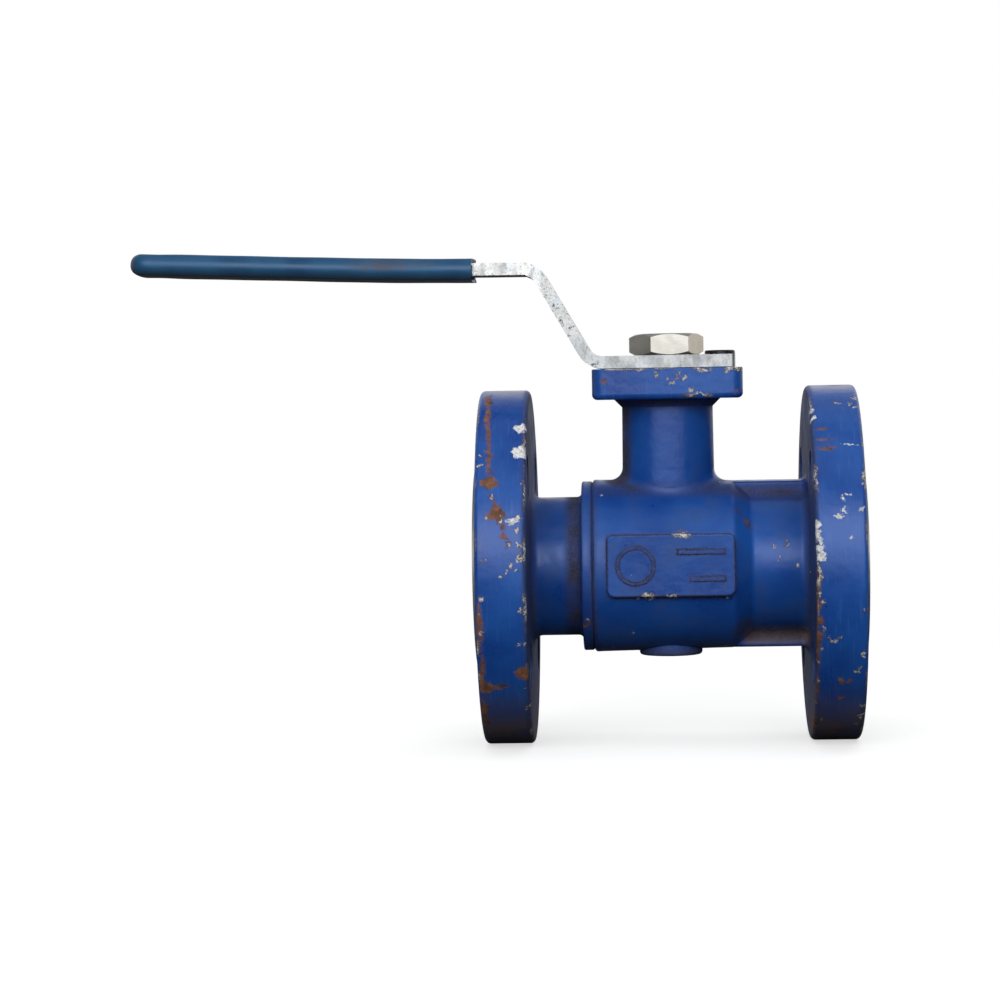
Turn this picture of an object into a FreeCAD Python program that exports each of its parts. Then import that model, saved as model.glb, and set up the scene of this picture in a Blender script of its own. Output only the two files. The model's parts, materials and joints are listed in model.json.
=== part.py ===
"""Flanged lever ball valve, DN 25, two-piece cast steel, as separate solids.

Frame: origin at the ball's centre, where the flow axis crosses the stem axis.
+X runs along the flow towards the body's own flange, +Y to the back, +Z up the stem.
The lever lies towards -X with the valve open. All sizes are in millimetres.
Threads are left as plain cylinders with a running clearance.
"""
import FreeCAD, Part
import math
import os

Vector = FreeCAD.Vector

# ---------------------------------------------------------------- driving dimensions
# Clearances
fit_gap = 0.05              # radial play of anything that turns, slides or is screwed in
seal_gap = 0.05             # between the ball and the faces of its seats
loose_gap = 0.3             # between moving pieces that don't guide each other

# Working allowances
overcut = 1.0               # how far a cutting solid runs past the face that it opens
pick_gap = 0.01             # tolerance when edges are picked out by their place
same_point = 1e-6           # points closer than this need no line between them

# Pipe ends, both the same
bore_radius = 12.5
face_to_face = 125.0
flange_radius = 57.5
flange_thickness = 16.0     # of the rim, without the raised face
raised_face_radius = 34.0
raised_face_height = 2.0
bolt_circle_radius = 42.5
bolt_hole_radius = 7.0
bolt_count = 4
rim_round = 1.6
pipe_neck_radius = 22.5
pipe_neck_fillet = 3.0

# Ball and seats
ball_radius = 19.5
seat_inner_radius = 13.0
seat_outer_radius = 17.5
seat_contact_radius = 16.0  # outer edge of the seat's hollow face
seat_pocket_depth = 6.5
slot_depth = 4.9
slot_width = 8.1
vent_radius = 1.0

# Ball chamber of the body
chamber_radius_open_end = 28.0
chamber_radius_far_end = 27.2
chamber_end_x = 20.6        # where the shoulder down to the pipe neck starts
shoulder_length = 5.7
shoulder_round = 2.4
cavity_radius = 21.0
seat_pocket_x = 13.0        # both seat pockets open this far from the ball's centre
rib_radius = 27.15          # outer edge of the two ribs, about the flow axis
rib_half_thickness = 5.0
rib_foot_fillet = 4.0
rib_edge_round = 1.0
rib_root = 4.0              # by which a rib starts inside the chamber
rib_flange_fillet = 2.5
boss_radius = 10.2
boss_reach = 29.2           # underside of the cast boss below the flow axis
boss_round = 1.0

# Joint between body and end piece
seam_x = -24.6
seam_chamfer = 0.6
end_ring_radius = 27.5
end_ring_width = 3.6
end_ring_round = 0.6
end_ring_fillet = 1.7
spigot_radius = 23.0
gasket_thickness = 2.0
gasket_width = 1.8

# Cast plate on the front of the chamber, with plain shapes on it
plate_reach = 28.7          # its face in front of the flow axis
plate_width = 40.9
plate_height = 20.0
plate_centre_x = 0.25
plate_centre_z = 1.2
plate_corner_radius = 2.6
plate_edge_round = 0.7
plate_base_y = 20.0
relief_height = 0.45
relief_root = 1.0           # depth at which the raised shapes start inside the plate
ring_outer_radius = 6.2
ring_width = 0.9
ring_inset = 9.2            # ring centre from the plate's left edge
bar_height = 1.5
bar_lengths = (15.0, 11.0)
bar_spacing = 8.6
bar_inset = 3.4             # bars' right ends from the plate's right edge

# Stem neck and actuator pad
neck_radius_top = 14.72
neck_radius_foot = 15.0
neck_foot_z = 15.0
saddle_fillet = 4.0
flare_width = 2.5
pad_width = 48.0
pad_thickness = 9.8
pad_top_z = 63.7
pad_corner_radius = 4.0
pad_under_round = 1.7
pad_top_round = 0.4
pad_hole_circle = 50.0      # bolt circle of the four tapped holes
pad_hole_radius = 2.5       # core hole of an M6 thread

# Stem
stem_radius = 8.0
stem_thread_radius = 7.0
stem_flat_half = 5.0        # double-D head, half its width across the flats
stem_head_height = 10.5     # of the double-D head above the shoulder
collar_radius = 10.0
collar_bottom_z = 20.5
collar_thickness = 3.5
thrust_washer_thickness = 1.0
tang_length = 14.0
tang_floor_gap = 0.4
stem_chamfer = 0.8
keyway_width = 2.2
keyway_depth = 1.0
keyway_length = 5.0

# Packing and gland
packing_bottom_z = 41.0
packing_radius = 11.0
packing_ring_height = 2.2
packing_vee_height = 0.9
packing_vee_count = 3
packing_end_height = 1.6
gland_recess_radius = 14.5
gland_recess_z = 55.5
gland_skirt_reach = 3.0     # of the bush into the packing chamber
gland_flange_radius = 13.0
gland_flange_thickness = 1.0
gland_play = 1.0            # room under the bush's flange for taking up wear
disc_thickness = 0.8
disc_cone_height = 0.45
disc_radius = 12.0
disc_count = 2
gland_nut_width = 22.0
gland_nut_height = 3.0
tab_thickness = 0.5
tab_width = 5.0
tab_drop = 2.4
tab_washer_radius = 12.6

# Antistatic contact in the stem
contact_z = 33.0
contact_hole_radius = 1.25
contact_hole_depth = 5.0
contact_ball_radius = 1.2
contact_wire_width = 0.4    # square wire
contact_turns = 4

# Lever, a bent plate
lever_thickness = 4.0
lever_head_width = 25.0
lever_arm_width = 18.0
lever_tail = 22.0           # end of the head beyond the stem axis
lever_head_reach = 23.4     # start of the rise on the other side
lever_rise_angle = 60.0
lever_height = 30.7         # from the head's top face to the hand bar's
lever_bend_radius = 5.25    # inside of both bends
lever_level_x = 45.0        # where the hand bar starts to curve up
lever_stub = 5.0            # by which the bend and the hand bar run past each other before they meet
lever_sweep_radius = 1500.0
lever_sweep_length = 60.0
lever_tip = 171.4
lever_tip_round = 5.0
lever_shoulder_radius = 3.0 # in plan, where the head starts to narrow
lever_taper_radius = 8.0    # in plan, where the arm has its own width
head_corner_round = 1.5

# Grip, a sleeve dipped over the hand bar
grip_length = 113.1
grip_height = 8.4
grip_width = 24.0
grip_end_wall = 3.2
grip_edge_radius = 3.9

# Nuts
nut_face_share = 0.96       # round end face of a nut, as a share of its width across flats
nut_chamfer_angle = 30.0
nut_countersink = 1.5       # by which the countersink is wider than the thread, at the end face
nut_countersink_depth = 0.5
lever_nut_width = 21.0
lever_nut_height = 7.0
lever_nut_turn = 5.3        # degrees from a corner on the flow axis

# Stop screw
screw_head_radius = 5.0
screw_head_height = 6.0
screw_socket_width = 5.0
screw_socket_depth = 3.0
screw_head_round = 0.5

# ---------------------------------------------------------------- derived places
face_x = face_to_face / 2
flange_outer_x = face_x - raised_face_height
flange_inner_x = flange_outer_x - flange_thickness
seat_back_x = seat_pocket_x + seat_pocket_depth
gasket_x = -seat_pocket_x   # end of the spigot, against the gasket
chamber_shelf_x = gasket_x + gasket_thickness
spigot_hole_radius = spigot_radius + fit_gap
seat_pocket_radius = seat_outer_radius + fit_gap
stem_bore_radius = stem_radius + fit_gap
collar_recess_radius = collar_radius + fit_gap
collar_top_z = collar_bottom_z + collar_thickness
collar_shelf_z = collar_top_z + thrust_washer_thickness
slot_floor_z = ball_radius - slot_depth
packing_chamber_radius = packing_radius + fit_gap
pad_bottom_z = pad_top_z - pad_thickness
pad_hole_offset = pad_hole_circle / 2 / math.sqrt(2)
lever_bottom_z = pad_top_z + loose_gap
lever_top_z = lever_bottom_z + lever_thickness
stem_top_z = lever_bottom_z + stem_head_height
tab_washer_top_z = lever_bottom_z - loose_gap
gland_nut_top_z = tab_washer_top_z - tab_thickness
gland_nut_bottom_z = gland_nut_top_z - gland_nut_height
gland_flange_z = gland_recess_z + gland_play
gland_bush_top_z = gland_flange_z + gland_flange_thickness
end_ring_left_x = seam_x - end_ring_width

X_AXIS = Vector(1, 0, 0)
Y_AXIS = Vector(0, 1, 0)
Z_AXIS = Vector(0, 0, 1)
ORIGIN = Vector(0, 0, 0)


# ---------------------------------------------------------------- drawing helpers
def rounded_wire(corners, place):
    """A closed wire through corners (u, v) or (u, v, radius); place turns (u, v) into a 3-D point.

    A corner with a radius is replaced by the arc that is tangent to both of its sides.
    """
    flat = [Vector(c[0], c[1], 0) for c in corners]
    radii = [c[2] if len(c) > 2 else 0.0 for c in corners]
    starts = []
    ends = []
    middles = []
    for i, corner in enumerate(flat):
        back = (flat[i - 1] - corner).normalize()
        ahead = (flat[(i + 1) % len(flat)] - corner).normalize()
        if radii[i] == 0.0:
            starts.append(corner)
            ends.append(corner)
            middles.append(None)
            continue
        half_angle = back.getAngle(ahead) / 2
        tangent = radii[i] / math.tan(half_angle)
        to_centre = (back + ahead).normalize()
        centre = corner + to_centre * (radii[i] / math.sin(half_angle))
        starts.append(corner + back * tangent)
        ends.append(corner + ahead * tangent)
        middles.append(centre - to_centre * radii[i])
    edges = []
    for i in range(len(flat)):
        if middles[i] is not None:
            edges.append(Part.Arc(place(starts[i]), place(middles[i]), place(ends[i])).toShape())
        following = starts[(i + 1) % len(flat)]
        if ends[i].distanceToPoint(following) > same_point:
            edges.append(Part.LineSegment(place(ends[i]), place(following)).toShape())
    return Part.Wire(edges)


def turned_about_x(corners):
    """A solid of revolution about the flow axis, from corners (x, radius[, rounding])."""
    wire = rounded_wire(corners, lambda p: Vector(p.x, 0, p.y))
    return Part.Face(wire).revolve(ORIGIN, X_AXIS, 360)


def turned_about_z(corners):
    """A solid of revolution about the stem axis, from corners (radius, z[, rounding])."""
    wire = rounded_wire(corners, lambda p: Vector(p.x, 0, p.y))
    return Part.Face(wire).revolve(ORIGIN, Z_AXIS, 360)


def rod_x(radius, x_low, x_high, y=0.0, z=0.0):
    return Part.makeCylinder(radius, x_high - x_low, Vector(x_low, y, z), X_AXIS)


def rod_z(radius, z_low, z_high, x=0.0, y=0.0):
    return Part.makeCylinder(radius, z_high - z_low, Vector(x, y, z_low), Z_AXIS)


def block(x_low, x_high, y_low, y_high, z_low, z_high):
    return Part.makeBox(x_high - x_low, y_high - y_low, z_high - z_low, Vector(x_low, y_low, z_low))


def ring_z(inner_radius, outer_radius, z_low, z_high):
    return rod_z(outer_radius, z_low, z_high).cut(rod_z(inner_radius, z_low - overcut, z_high + overcut))


def hexagon_z(width, z_low, z_high, turn=0.0):
    """A hexagonal prism of the given width across flats, with a corner at angle turn."""
    corner_radius = width / math.sqrt(3)
    angles = [math.radians(turn + 60 * i) for i in range(6)]
    corners = [(corner_radius * math.cos(a), corner_radius * math.sin(a)) for a in angles]
    wire = rounded_wire(corners, lambda p: Vector(p.x, p.y, z_low))
    return Part.Face(wire).extrude(Vector(0, 0, z_high - z_low))


def chamfered_hexagon(width, z_low, z_high, turn):
    """A hexagon whose corners are turned off at the nut chamfer angle at both ends."""
    corner_radius = width / math.sqrt(3)
    face_radius = width / 2 * nut_face_share
    drop = (corner_radius + overcut - face_radius) * math.tan(math.radians(nut_chamfer_angle))
    envelope = turned_about_z([
        (0, z_low), (face_radius, z_low), (corner_radius + overcut, z_low + drop),
        (corner_radius + overcut, z_high - drop), (face_radius, z_high), (0, z_high)])
    return hexagon_z(width, z_low, z_high, turn).common(envelope)


def on_bolt_circle(radius, count):
    """Places (y, z) on a circle about the flow axis, half a pitch off the vertical."""
    angles = [2 * math.pi * (i + 0.5) / count for i in range(count)]
    return [(radius * math.sin(a), radius * math.cos(a)) for a in angles]


def flange_holes(x_low, x_high):
    places = on_bolt_circle(bolt_circle_radius, bolt_count)
    return [rod_x(bolt_hole_radius, x_low, x_high, y, z) for y, z in places]


def cleaned(shape):
    """One plain solid out of a boolean result."""
    solid = shape.removeSplitter().Solids[0]
    return solid


# ---------------------------------------------------------------- castings
def rib_pair():
    """Upper and lower rib: a slab with hollow foot fillets that run into the pipe neck."""
    half = rib_half_thickness
    foot = rib_foot_fillet
    x_low = chamber_end_x - rib_root
    # The fillet's centre is one fillet radius off both the rib's side and the pipe neck.
    centre_y = half + foot
    centre_z = math.sqrt((pipe_neck_radius + foot) ** 2 - centre_y ** 2)
    share = pipe_neck_radius / (pipe_neck_radius + foot)
    touch_y = centre_y * share
    touch_z = centre_z * share
    slope = math.atan2(touch_z - centre_z, touch_y - centre_y)
    middle = (slope - math.pi) / 2
    middle_y = centre_y + foot * math.cos(middle)
    middle_z = centre_z + foot * math.sin(middle)
    top_z = rib_radius + overcut

    def at(y, z):
        return Vector(x_low, y, z)

    right_arc = Part.Arc(at(half, centre_z), at(middle_y, middle_z), at(touch_y, touch_z))
    left_arc = Part.Arc(at(-touch_y, touch_z), at(-middle_y, middle_z), at(-half, centre_z))
    edges = [
        right_arc.toShape(),
        Part.LineSegment(at(touch_y, touch_z), at(0, 0)).toShape(),
        Part.LineSegment(at(0, 0), at(-touch_y, touch_z)).toShape(),
        left_arc.toShape(),
        Part.LineSegment(at(-half, centre_z), at(-half, top_z)).toShape(),
        Part.LineSegment(at(-half, top_z), at(half, top_z)).toShape(),
        Part.LineSegment(at(half, top_z), at(half, centre_z)).toShape()]
    x_high = flange_inner_x + overcut
    slab = Part.Face(Part.Wire(edges)).extrude(Vector(x_high - x_low, 0, 0))
    upper = slab.common(rod_x(rib_radius, x_low, x_high))
    crest = [e for e in upper.Edges
             if e.BoundBox.XLength > x_high - x_low - pick_gap
             and e.BoundBox.ZMin > rib_radius - rib_edge_round]
    upper = upper.makeFillet(rib_edge_round, crest)
    lower = upper.copy()
    lower.rotate(ORIGIN, X_AXIS, 180)
    return [upper, lower]


def cast_plate():
    """Raised plate on the chamber's front, with a ring and two bars in low relief."""
    x_low = plate_centre_x - plate_width / 2
    x_high = plate_centre_x + plate_width / 2
    z_low = plate_centre_z - plate_height / 2
    z_high = plate_centre_z + plate_height / 2
    corners = [(x, z, plate_corner_radius) for x, z in
               [(x_low, z_low), (x_high, z_low), (x_high, z_high), (x_low, z_high)]]
    outline = rounded_wire(corners, lambda p: Vector(p.x, -plate_base_y, p.y))
    plate = Part.Face(outline).extrude(Vector(0, plate_base_y - plate_reach, 0))
    front = [e for e in plate.Edges if e.BoundBox.YMax < pick_gap - plate_reach]
    plate = plate.makeFillet(plate_edge_round, front)
    relief_y = -plate_reach - relief_height
    ring_x = x_low + ring_inset
    depth = relief_height + relief_root
    ring = Part.makeCylinder(ring_outer_radius, depth, Vector(ring_x, relief_y, plate_centre_z), Y_AXIS)
    hole = Part.makeCylinder(ring_outer_radius - ring_width, depth,
                             Vector(ring_x, relief_y, plate_centre_z), Y_AXIS)
    shapes = [ring.cut(hole)]
    for i, length in enumerate(bar_lengths):
        bar_z = plate_centre_z + bar_spacing * (0.5 - i)
        right = x_high - bar_inset
        shapes.append(block(right - length, right, relief_y, relief_y + depth,
                            bar_z - bar_height / 2, bar_z + bar_height / 2))
    return plate.multiFuse(shapes)


def chamber_and_pipe_end():
    """Outside of the body about the flow axis: chamber, shoulder, pipe neck and flange."""
    return turned_about_x([
        (seam_x, 0),
        (seam_x, chamber_radius_open_end - seam_chamfer),
        (seam_x + seam_chamfer, chamber_radius_open_end),
        (chamber_end_x, chamber_radius_far_end, shoulder_round),
        (chamber_end_x + shoulder_length, pipe_neck_radius, shoulder_round),
        (flange_inner_x, pipe_neck_radius, pipe_neck_fillet),
        (flange_inner_x, flange_radius, rim_round),
        (flange_outer_x, flange_radius, rim_round),
        (flange_outer_x, raised_face_radius),
        (face_x, raised_face_radius),
        (face_x, 0)])


def stem_neck():
    """Outside of the stem neck, with the flare that carries the pad."""
    return turned_about_z([
        (0, neck_foot_z),
        (neck_radius_foot, neck_foot_z),
        (neck_radius_top, pad_bottom_z - flare_width),
        (neck_radius_top + flare_width, pad_bottom_z),
        (neck_radius_top + flare_width, pad_bottom_z + overcut),
        (0, pad_bottom_z + overcut)])


def actuator_pad():
    half = pad_width / 2
    corners = [(x, y, pad_corner_radius) for x, y in
               [(-half, -half), (half, -half), (half, half), (-half, half)]]
    outline = rounded_wire(corners, lambda p: Vector(p.x, p.y, pad_bottom_z))
    pad = Part.Face(outline).extrude(Vector(0, 0, pad_thickness))
    under = [e for e in pad.Edges if e.BoundBox.ZMax < pad_bottom_z + pick_gap]
    pad = pad.makeFillet(pad_under_round, under)
    top = [e for e in pad.Edges if e.BoundBox.ZMin > pad_top_z - pick_gap]
    return pad.makeFillet(pad_top_round, top)


def body_boss():
    return turned_about_z([
        (0, 0), (boss_radius, 0), (boss_radius, -boss_reach, boss_round), (0, -boss_reach)])


def is_on_saddle(edge):
    """True for an edge where the stem neck meets the round chamber."""
    box = edge.BoundBox
    middle = edge.valueAt((edge.FirstParameter + edge.LastParameter) / 2)
    from_stem_axis = math.hypot(middle.x, middle.y)
    on_neck = neck_radius_top - pick_gap < from_stem_axis < neck_radius_foot + pick_gap
    return on_neck and box.ZMin > neck_foot_z + overcut and box.ZMax < chamber_radius_open_end + overcut


def is_at_rib_end(edge):
    """True for an edge where a rib's crest or side runs square into the flange."""
    box = edge.BoundBox
    middle = edge.valueAt((edge.FirstParameter + edge.LastParameter) / 2)
    on_flange = box.XMax - flange_inner_x < pick_gap and flange_inner_x - box.XMin < pick_gap
    on_rib = abs(middle.y) < rib_half_thickness + pick_gap and abs(middle.z) < rib_radius + pick_gap
    return on_flange and on_rib and abs(middle.z) > pipe_neck_radius + pipe_neck_fillet / 2


def make_body_casting():
    body = chamber_and_pipe_end().fuse(stem_neck()).removeSplitter()
    saddle = [e for e in body.Edges if is_on_saddle(e)]
    body = body.makeFillet(saddle_fillet, saddle)
    body = body.multiFuse([actuator_pad(), body_boss(), cast_plate()] + rib_pair()).removeSplitter()
    body = body.makeFillet(rib_flange_fillet, [e for e in body.Edges if is_at_rib_end(e)])
    bores = [
        rod_x(spigot_hole_radius, seam_x - overcut, chamber_shelf_x),
        rod_x(cavity_radius, chamber_shelf_x - overcut, seat_pocket_x),
        rod_x(seat_pocket_radius, seat_pocket_x - overcut, seat_back_x),
        rod_x(bore_radius, 0, face_x + overcut),
        rod_z(collar_recess_radius, 0, collar_shelf_z),
        rod_z(stem_bore_radius, 0, pad_top_z + overcut),
        rod_z(packing_chamber_radius, packing_bottom_z, pad_top_z + overcut),
        rod_z(gland_recess_radius, gland_recess_z, pad_top_z + overcut)]
    for x in (-pad_hole_offset, pad_hole_offset):
        for y in (-pad_hole_offset, pad_hole_offset):
            bores.append(rod_z(pad_hole_radius, pad_bottom_z - overcut, pad_top_z + overcut, x, y))
    bores += flange_holes(flange_inner_x - overcut, face_x + overcut)
    return cleaned(body.cut(bores))


def make_end_piece():
    outside = turned_about_x([
        (-face_x, bore_radius),
        (-face_x, raised_face_radius),
        (-flange_outer_x, raised_face_radius),
        (-flange_outer_x, flange_radius, rim_round),
        (-flange_inner_x, flange_radius, rim_round),
        (-flange_inner_x, pipe_neck_radius, pipe_neck_fillet),
        (end_ring_left_x, pipe_neck_radius, end_ring_fillet),
        (end_ring_left_x, end_ring_radius, end_ring_round),
        (seam_x - seam_chamfer, end_ring_radius),
        (seam_x, end_ring_radius - seam_chamfer),
        (seam_x, spigot_radius),
        (gasket_x, spigot_radius),
        (gasket_x, seat_pocket_radius),
        (-seat_back_x, seat_pocket_radius),
        (-seat_back_x, bore_radius)])
    return cleaned(outside.cut(flange_holes(-face_x - overcut, -flange_inner_x + overcut)))


def make_body_gasket():
    outer = rod_x(spigot_radius, gasket_x, chamber_shelf_x)
    return outer.cut(rod_x(spigot_radius - gasket_width, gasket_x - overcut, chamber_shelf_x + overcut))


# ---------------------------------------------------------------- ball and seats
def make_ball():
    ball = Part.makeSphere(ball_radius)
    tools = [
        rod_x(bore_radius, -ball_radius, ball_radius),
        block(-slot_width / 2, slot_width / 2, -ball_radius, ball_radius,
              slot_floor_z, ball_radius + overcut),
        rod_z(vent_radius, 0, slot_floor_z + overcut)]
    return cleaned(ball.cut(tools))


def make_seat(side):
    """A seat ring in its pocket; side is +1 in the body and -1 in the end piece."""
    sealing_radius = ball_radius + seal_gap
    front_x = math.sqrt(sealing_radius ** 2 - seat_contact_radius ** 2)
    blank = rod_x(seat_outer_radius, front_x, seat_back_x)
    seat = blank.cut([rod_x(seat_inner_radius, 0, face_x), Part.makeSphere(sealing_radius)])
    if side < 0:
        seat.rotate(ORIGIN, Z_AXIS, 180)
    return cleaned(seat)


# ---------------------------------------------------------------- stem and its seals
def make_stem():
    tang_bottom_z = slot_floor_z + tang_floor_gap
    tang_half = slot_width / 2 - fit_gap
    tang = block(-tang_half, tang_half, -tang_length / 2, tang_length / 2,
                 tang_bottom_z, collar_bottom_z + overcut)
    shaft = turned_about_z([
        (0, collar_bottom_z),
        (collar_radius, collar_bottom_z),
        (collar_radius, collar_top_z),
        (stem_radius, collar_top_z),
        (stem_radius, lever_bottom_z),
        (stem_thread_radius, lever_bottom_z),
        (stem_thread_radius, stem_top_z - stem_chamfer),
        (stem_thread_radius - stem_chamfer, stem_top_z),
        (0, stem_top_z)])
    reach = stem_radius + overcut
    flats = [block(-reach, reach, y, y + reach, lever_bottom_z, stem_top_z + overcut)
             for y in (stem_flat_half, -stem_flat_half - reach)]
    keyway = block(stem_radius - keyway_depth, reach, -keyway_width / 2, keyway_width / 2,
                   lever_bottom_z - keyway_length, lever_bottom_z + overcut)
    contact_hole = rod_x(contact_hole_radius, stem_radius - contact_hole_depth, reach, 0, contact_z)
    return cleaned(shaft.fuse(tang).cut(flats + [keyway, contact_hole]))


def make_thrust_washer():
    return ring_z(stem_bore_radius, collar_radius, collar_top_z, collar_shelf_z)


def packing_section(z_low, height, hollow_below, raised_above):
    """A packing ring's section, with a vee-shaped hollow below or ridge above where asked."""
    middle = (stem_bore_radius + packing_radius) / 2
    corners = [(stem_bore_radius, z_low)]
    if hollow_below:
        corners.append((middle, z_low + packing_vee_height))
    corners += [(packing_radius, z_low), (packing_radius, z_low + height)]
    if raised_above:
        corners.append((middle, z_low + height + packing_vee_height))
    corners.append((stem_bore_radius, z_low + height))
    return corners


packing_vee_z = packing_bottom_z + packing_end_height + fit_gap
packing_pitch = packing_ring_height + fit_gap
packing_top_z = packing_vee_z + packing_vee_count * packing_pitch


def make_packing_bottom_ring():
    return turned_about_z(packing_section(packing_bottom_z, packing_end_height, False, True))


def make_packing_v_rings():
    rings = [turned_about_z(packing_section(packing_vee_z + i * packing_pitch,
                                            packing_ring_height, True, True))
             for i in range(packing_vee_count)]
    return Part.makeCompound(rings)


def make_packing_top_ring():
    height = gland_recess_z - gland_skirt_reach - packing_top_z
    return turned_about_z(packing_section(packing_top_z, height, True, False))


def make_gland_bush():
    return turned_about_z([
        (stem_bore_radius, gland_recess_z - gland_skirt_reach),
        (packing_radius, gland_recess_z - gland_skirt_reach),
        (packing_radius, gland_flange_z),
        (gland_flange_radius, gland_flange_z),
        (gland_flange_radius, gland_bush_top_z),
        (stem_bore_radius, gland_bush_top_z)])


def make_disc_springs():
    """Two coned washers, rim to rim, that fill the room between bush and nut."""
    inner = stem_bore_radius + fit_gap
    room = gland_nut_bottom_z - gland_bush_top_z - 2 * fit_gap
    pitch = room / disc_count
    rise = pitch - disc_thickness
    discs = []
    for i in range(disc_count):
        z = gland_bush_top_z + fit_gap + i * pitch
        inner_rise = 0.0 if i % 2 == 0 else rise
        outer_rise = rise - inner_rise
        discs.append(turned_about_z([
            (inner, z + inner_rise), (disc_radius, z + outer_rise),
            (disc_radius, z + outer_rise + disc_thickness), (inner, z + inner_rise + disc_thickness)]))
    return Part.makeCompound(discs)


def make_gland_nut():
    nut = chamfered_hexagon(gland_nut_width, gland_nut_bottom_z, gland_nut_top_z, 0.0)
    return cleaned(nut.cut(rod_z(stem_bore_radius, gland_nut_bottom_z - overcut, gland_nut_top_z + overcut)))


def make_tab_washer():
    """Lock washer: a tongue in the stem's keyway and a tab bent down over one flat of the nut."""
    disc = ring_z(stem_bore_radius, tab_washer_radius, gland_nut_top_z, tab_washer_top_z)
    tongue_half = keyway_width / 2 - fit_gap
    tongue = block(stem_radius - keyway_depth + fit_gap, stem_bore_radius + overcut,
                   -tongue_half, tongue_half, gland_nut_top_z, tab_washer_top_z)
    tab_y = -gland_nut_width / 2 - fit_gap
    tab = block(-tab_width / 2, tab_width / 2, tab_y - tab_thickness, tab_y,
                tab_washer_top_z - tab_drop, tab_washer_top_z)
    return cleaned(disc.fuse([tongue, tab]))


def make_antistatic_ball():
    """It sits in the stem's cross hole and touches the wall of the stem bore."""
    return Part.makeSphere(contact_ball_radius, Vector(stem_radius - contact_ball_radius, 0, contact_z))


def make_antistatic_spring():
    """Coil spring of square wire behind the contact ball, coiled about the cross hole's axis."""
    half = contact_wire_width / 2
    start_x = stem_radius - contact_hole_depth + half
    end_x = stem_radius - 2 * contact_ball_radius - half
    coil_radius = contact_hole_radius - half - fit_gap
    helix = Part.makeHelix((end_x - start_x) / contact_turns, end_x - start_x, coil_radius)
    corners = [(coil_radius + u, v) for u, v in [(-half, -half), (half, -half), (half, half), (-half, half)]]
    section = rounded_wire(corners, lambda p: Vector(p.x, 0, p.y))
    coil = Part.Wire(helix).makePipeShell([section], True, True)
    coil.rotate(ORIGIN, Y_AXIS, 90)
    coil.translate(Vector(start_x, 0, contact_z))
    return coil


# ---------------------------------------------------------------- lever and grip
def bar_line():
    """Corner points (x, z) of the lever's top face, from the tail to the start of the hand bar."""
    rise_run = lever_height / math.tan(math.radians(lever_rise_angle))
    return [(lever_tail, lever_top_z),
            (-lever_head_reach, lever_top_z),
            (-lever_head_reach - rise_run, lever_top_z + lever_height)]


def sweep_point(angle, offset, bar_top_z):
    """A point at an angle along the hand bar's upward sweep, offset above its top face."""
    radius = lever_sweep_radius - offset
    return Vector(-lever_level_x - radius * math.sin(angle),
                  0, bar_top_z + lever_sweep_radius - radius * math.cos(angle))


def hand_bar_face(start_x, tip_x, top_offset, bottom_offset):
    """Side view of the hand bar or of the grip on it: level, then a long arc, then straight."""
    bar_top_z = lever_top_z + lever_height
    turn = lever_sweep_length / lever_sweep_radius

    def outline(offset):
        level = Vector(-start_x, 0, bar_top_z + offset)
        arc_start = sweep_point(0, offset, bar_top_z)
        arc_middle = sweep_point(turn / 2, offset, bar_top_z)
        arc_end = sweep_point(turn, offset, bar_top_z)
        along = Vector(-math.cos(turn), 0, math.sin(turn))
        tip = arc_end + along * ((tip_x + arc_end.x) / math.cos(turn))
        if start_x < lever_level_x:
            return [Part.LineSegment(level, arc_start).toShape(),
                    Part.Arc(arc_start, arc_middle, arc_end).toShape(),
                    Part.LineSegment(arc_end, tip).toShape()], level, tip
        start_angle = math.asin((start_x - lever_level_x) / (lever_sweep_radius - offset))
        arc_start = sweep_point(start_angle, offset, bar_top_z)
        arc_middle = sweep_point((start_angle + turn) / 2, offset, bar_top_z)
        return [Part.Arc(arc_start, arc_middle, arc_end).toShape(),
                Part.LineSegment(arc_end, tip).toShape()], arc_start, tip

    top_edges, top_start, top_tip = outline(top_offset)
    bottom_edges, bottom_start, bottom_tip = outline(bottom_offset)
    edges = top_edges + [Part.LineSegment(top_tip, bottom_tip).toShape()]
    edges += bottom_edges + [Part.LineSegment(bottom_start, top_start).toShape()]
    return Part.Face(Part.Wire(Part.__sortEdges__(edges)))


def lever_side_face():
    """Side view of the head, the rise with its two bends and a stub of the hand bar."""
    top = bar_line()
    half_turn = math.radians(lever_rise_angle) / 2
    shift = lever_thickness * math.tan(half_turn)
    inner = lever_bend_radius
    outer = lever_bend_radius + lever_thickness
    low = [(top[0][0], top[0][1] - lever_thickness),
           (top[1][0] - shift, top[1][1] - lever_thickness),
           (top[2][0] - shift, top[2][1] - lever_thickness)]
    bar_z = top[2][1]
    corners = [
        top[0], (top[1][0], top[1][1], inner), (top[2][0], top[2][1], outer),
        (-lever_level_x - lever_stub, bar_z), (-lever_level_x - lever_stub, bar_z - lever_thickness),
        (low[2][0], low[2][1], inner), (low[1][0], low[1][1], outer), low[0]]
    wire = rounded_wire(corners, lambda p: Vector(p.x, 0, p.y))
    return Part.Face(wire)


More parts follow.
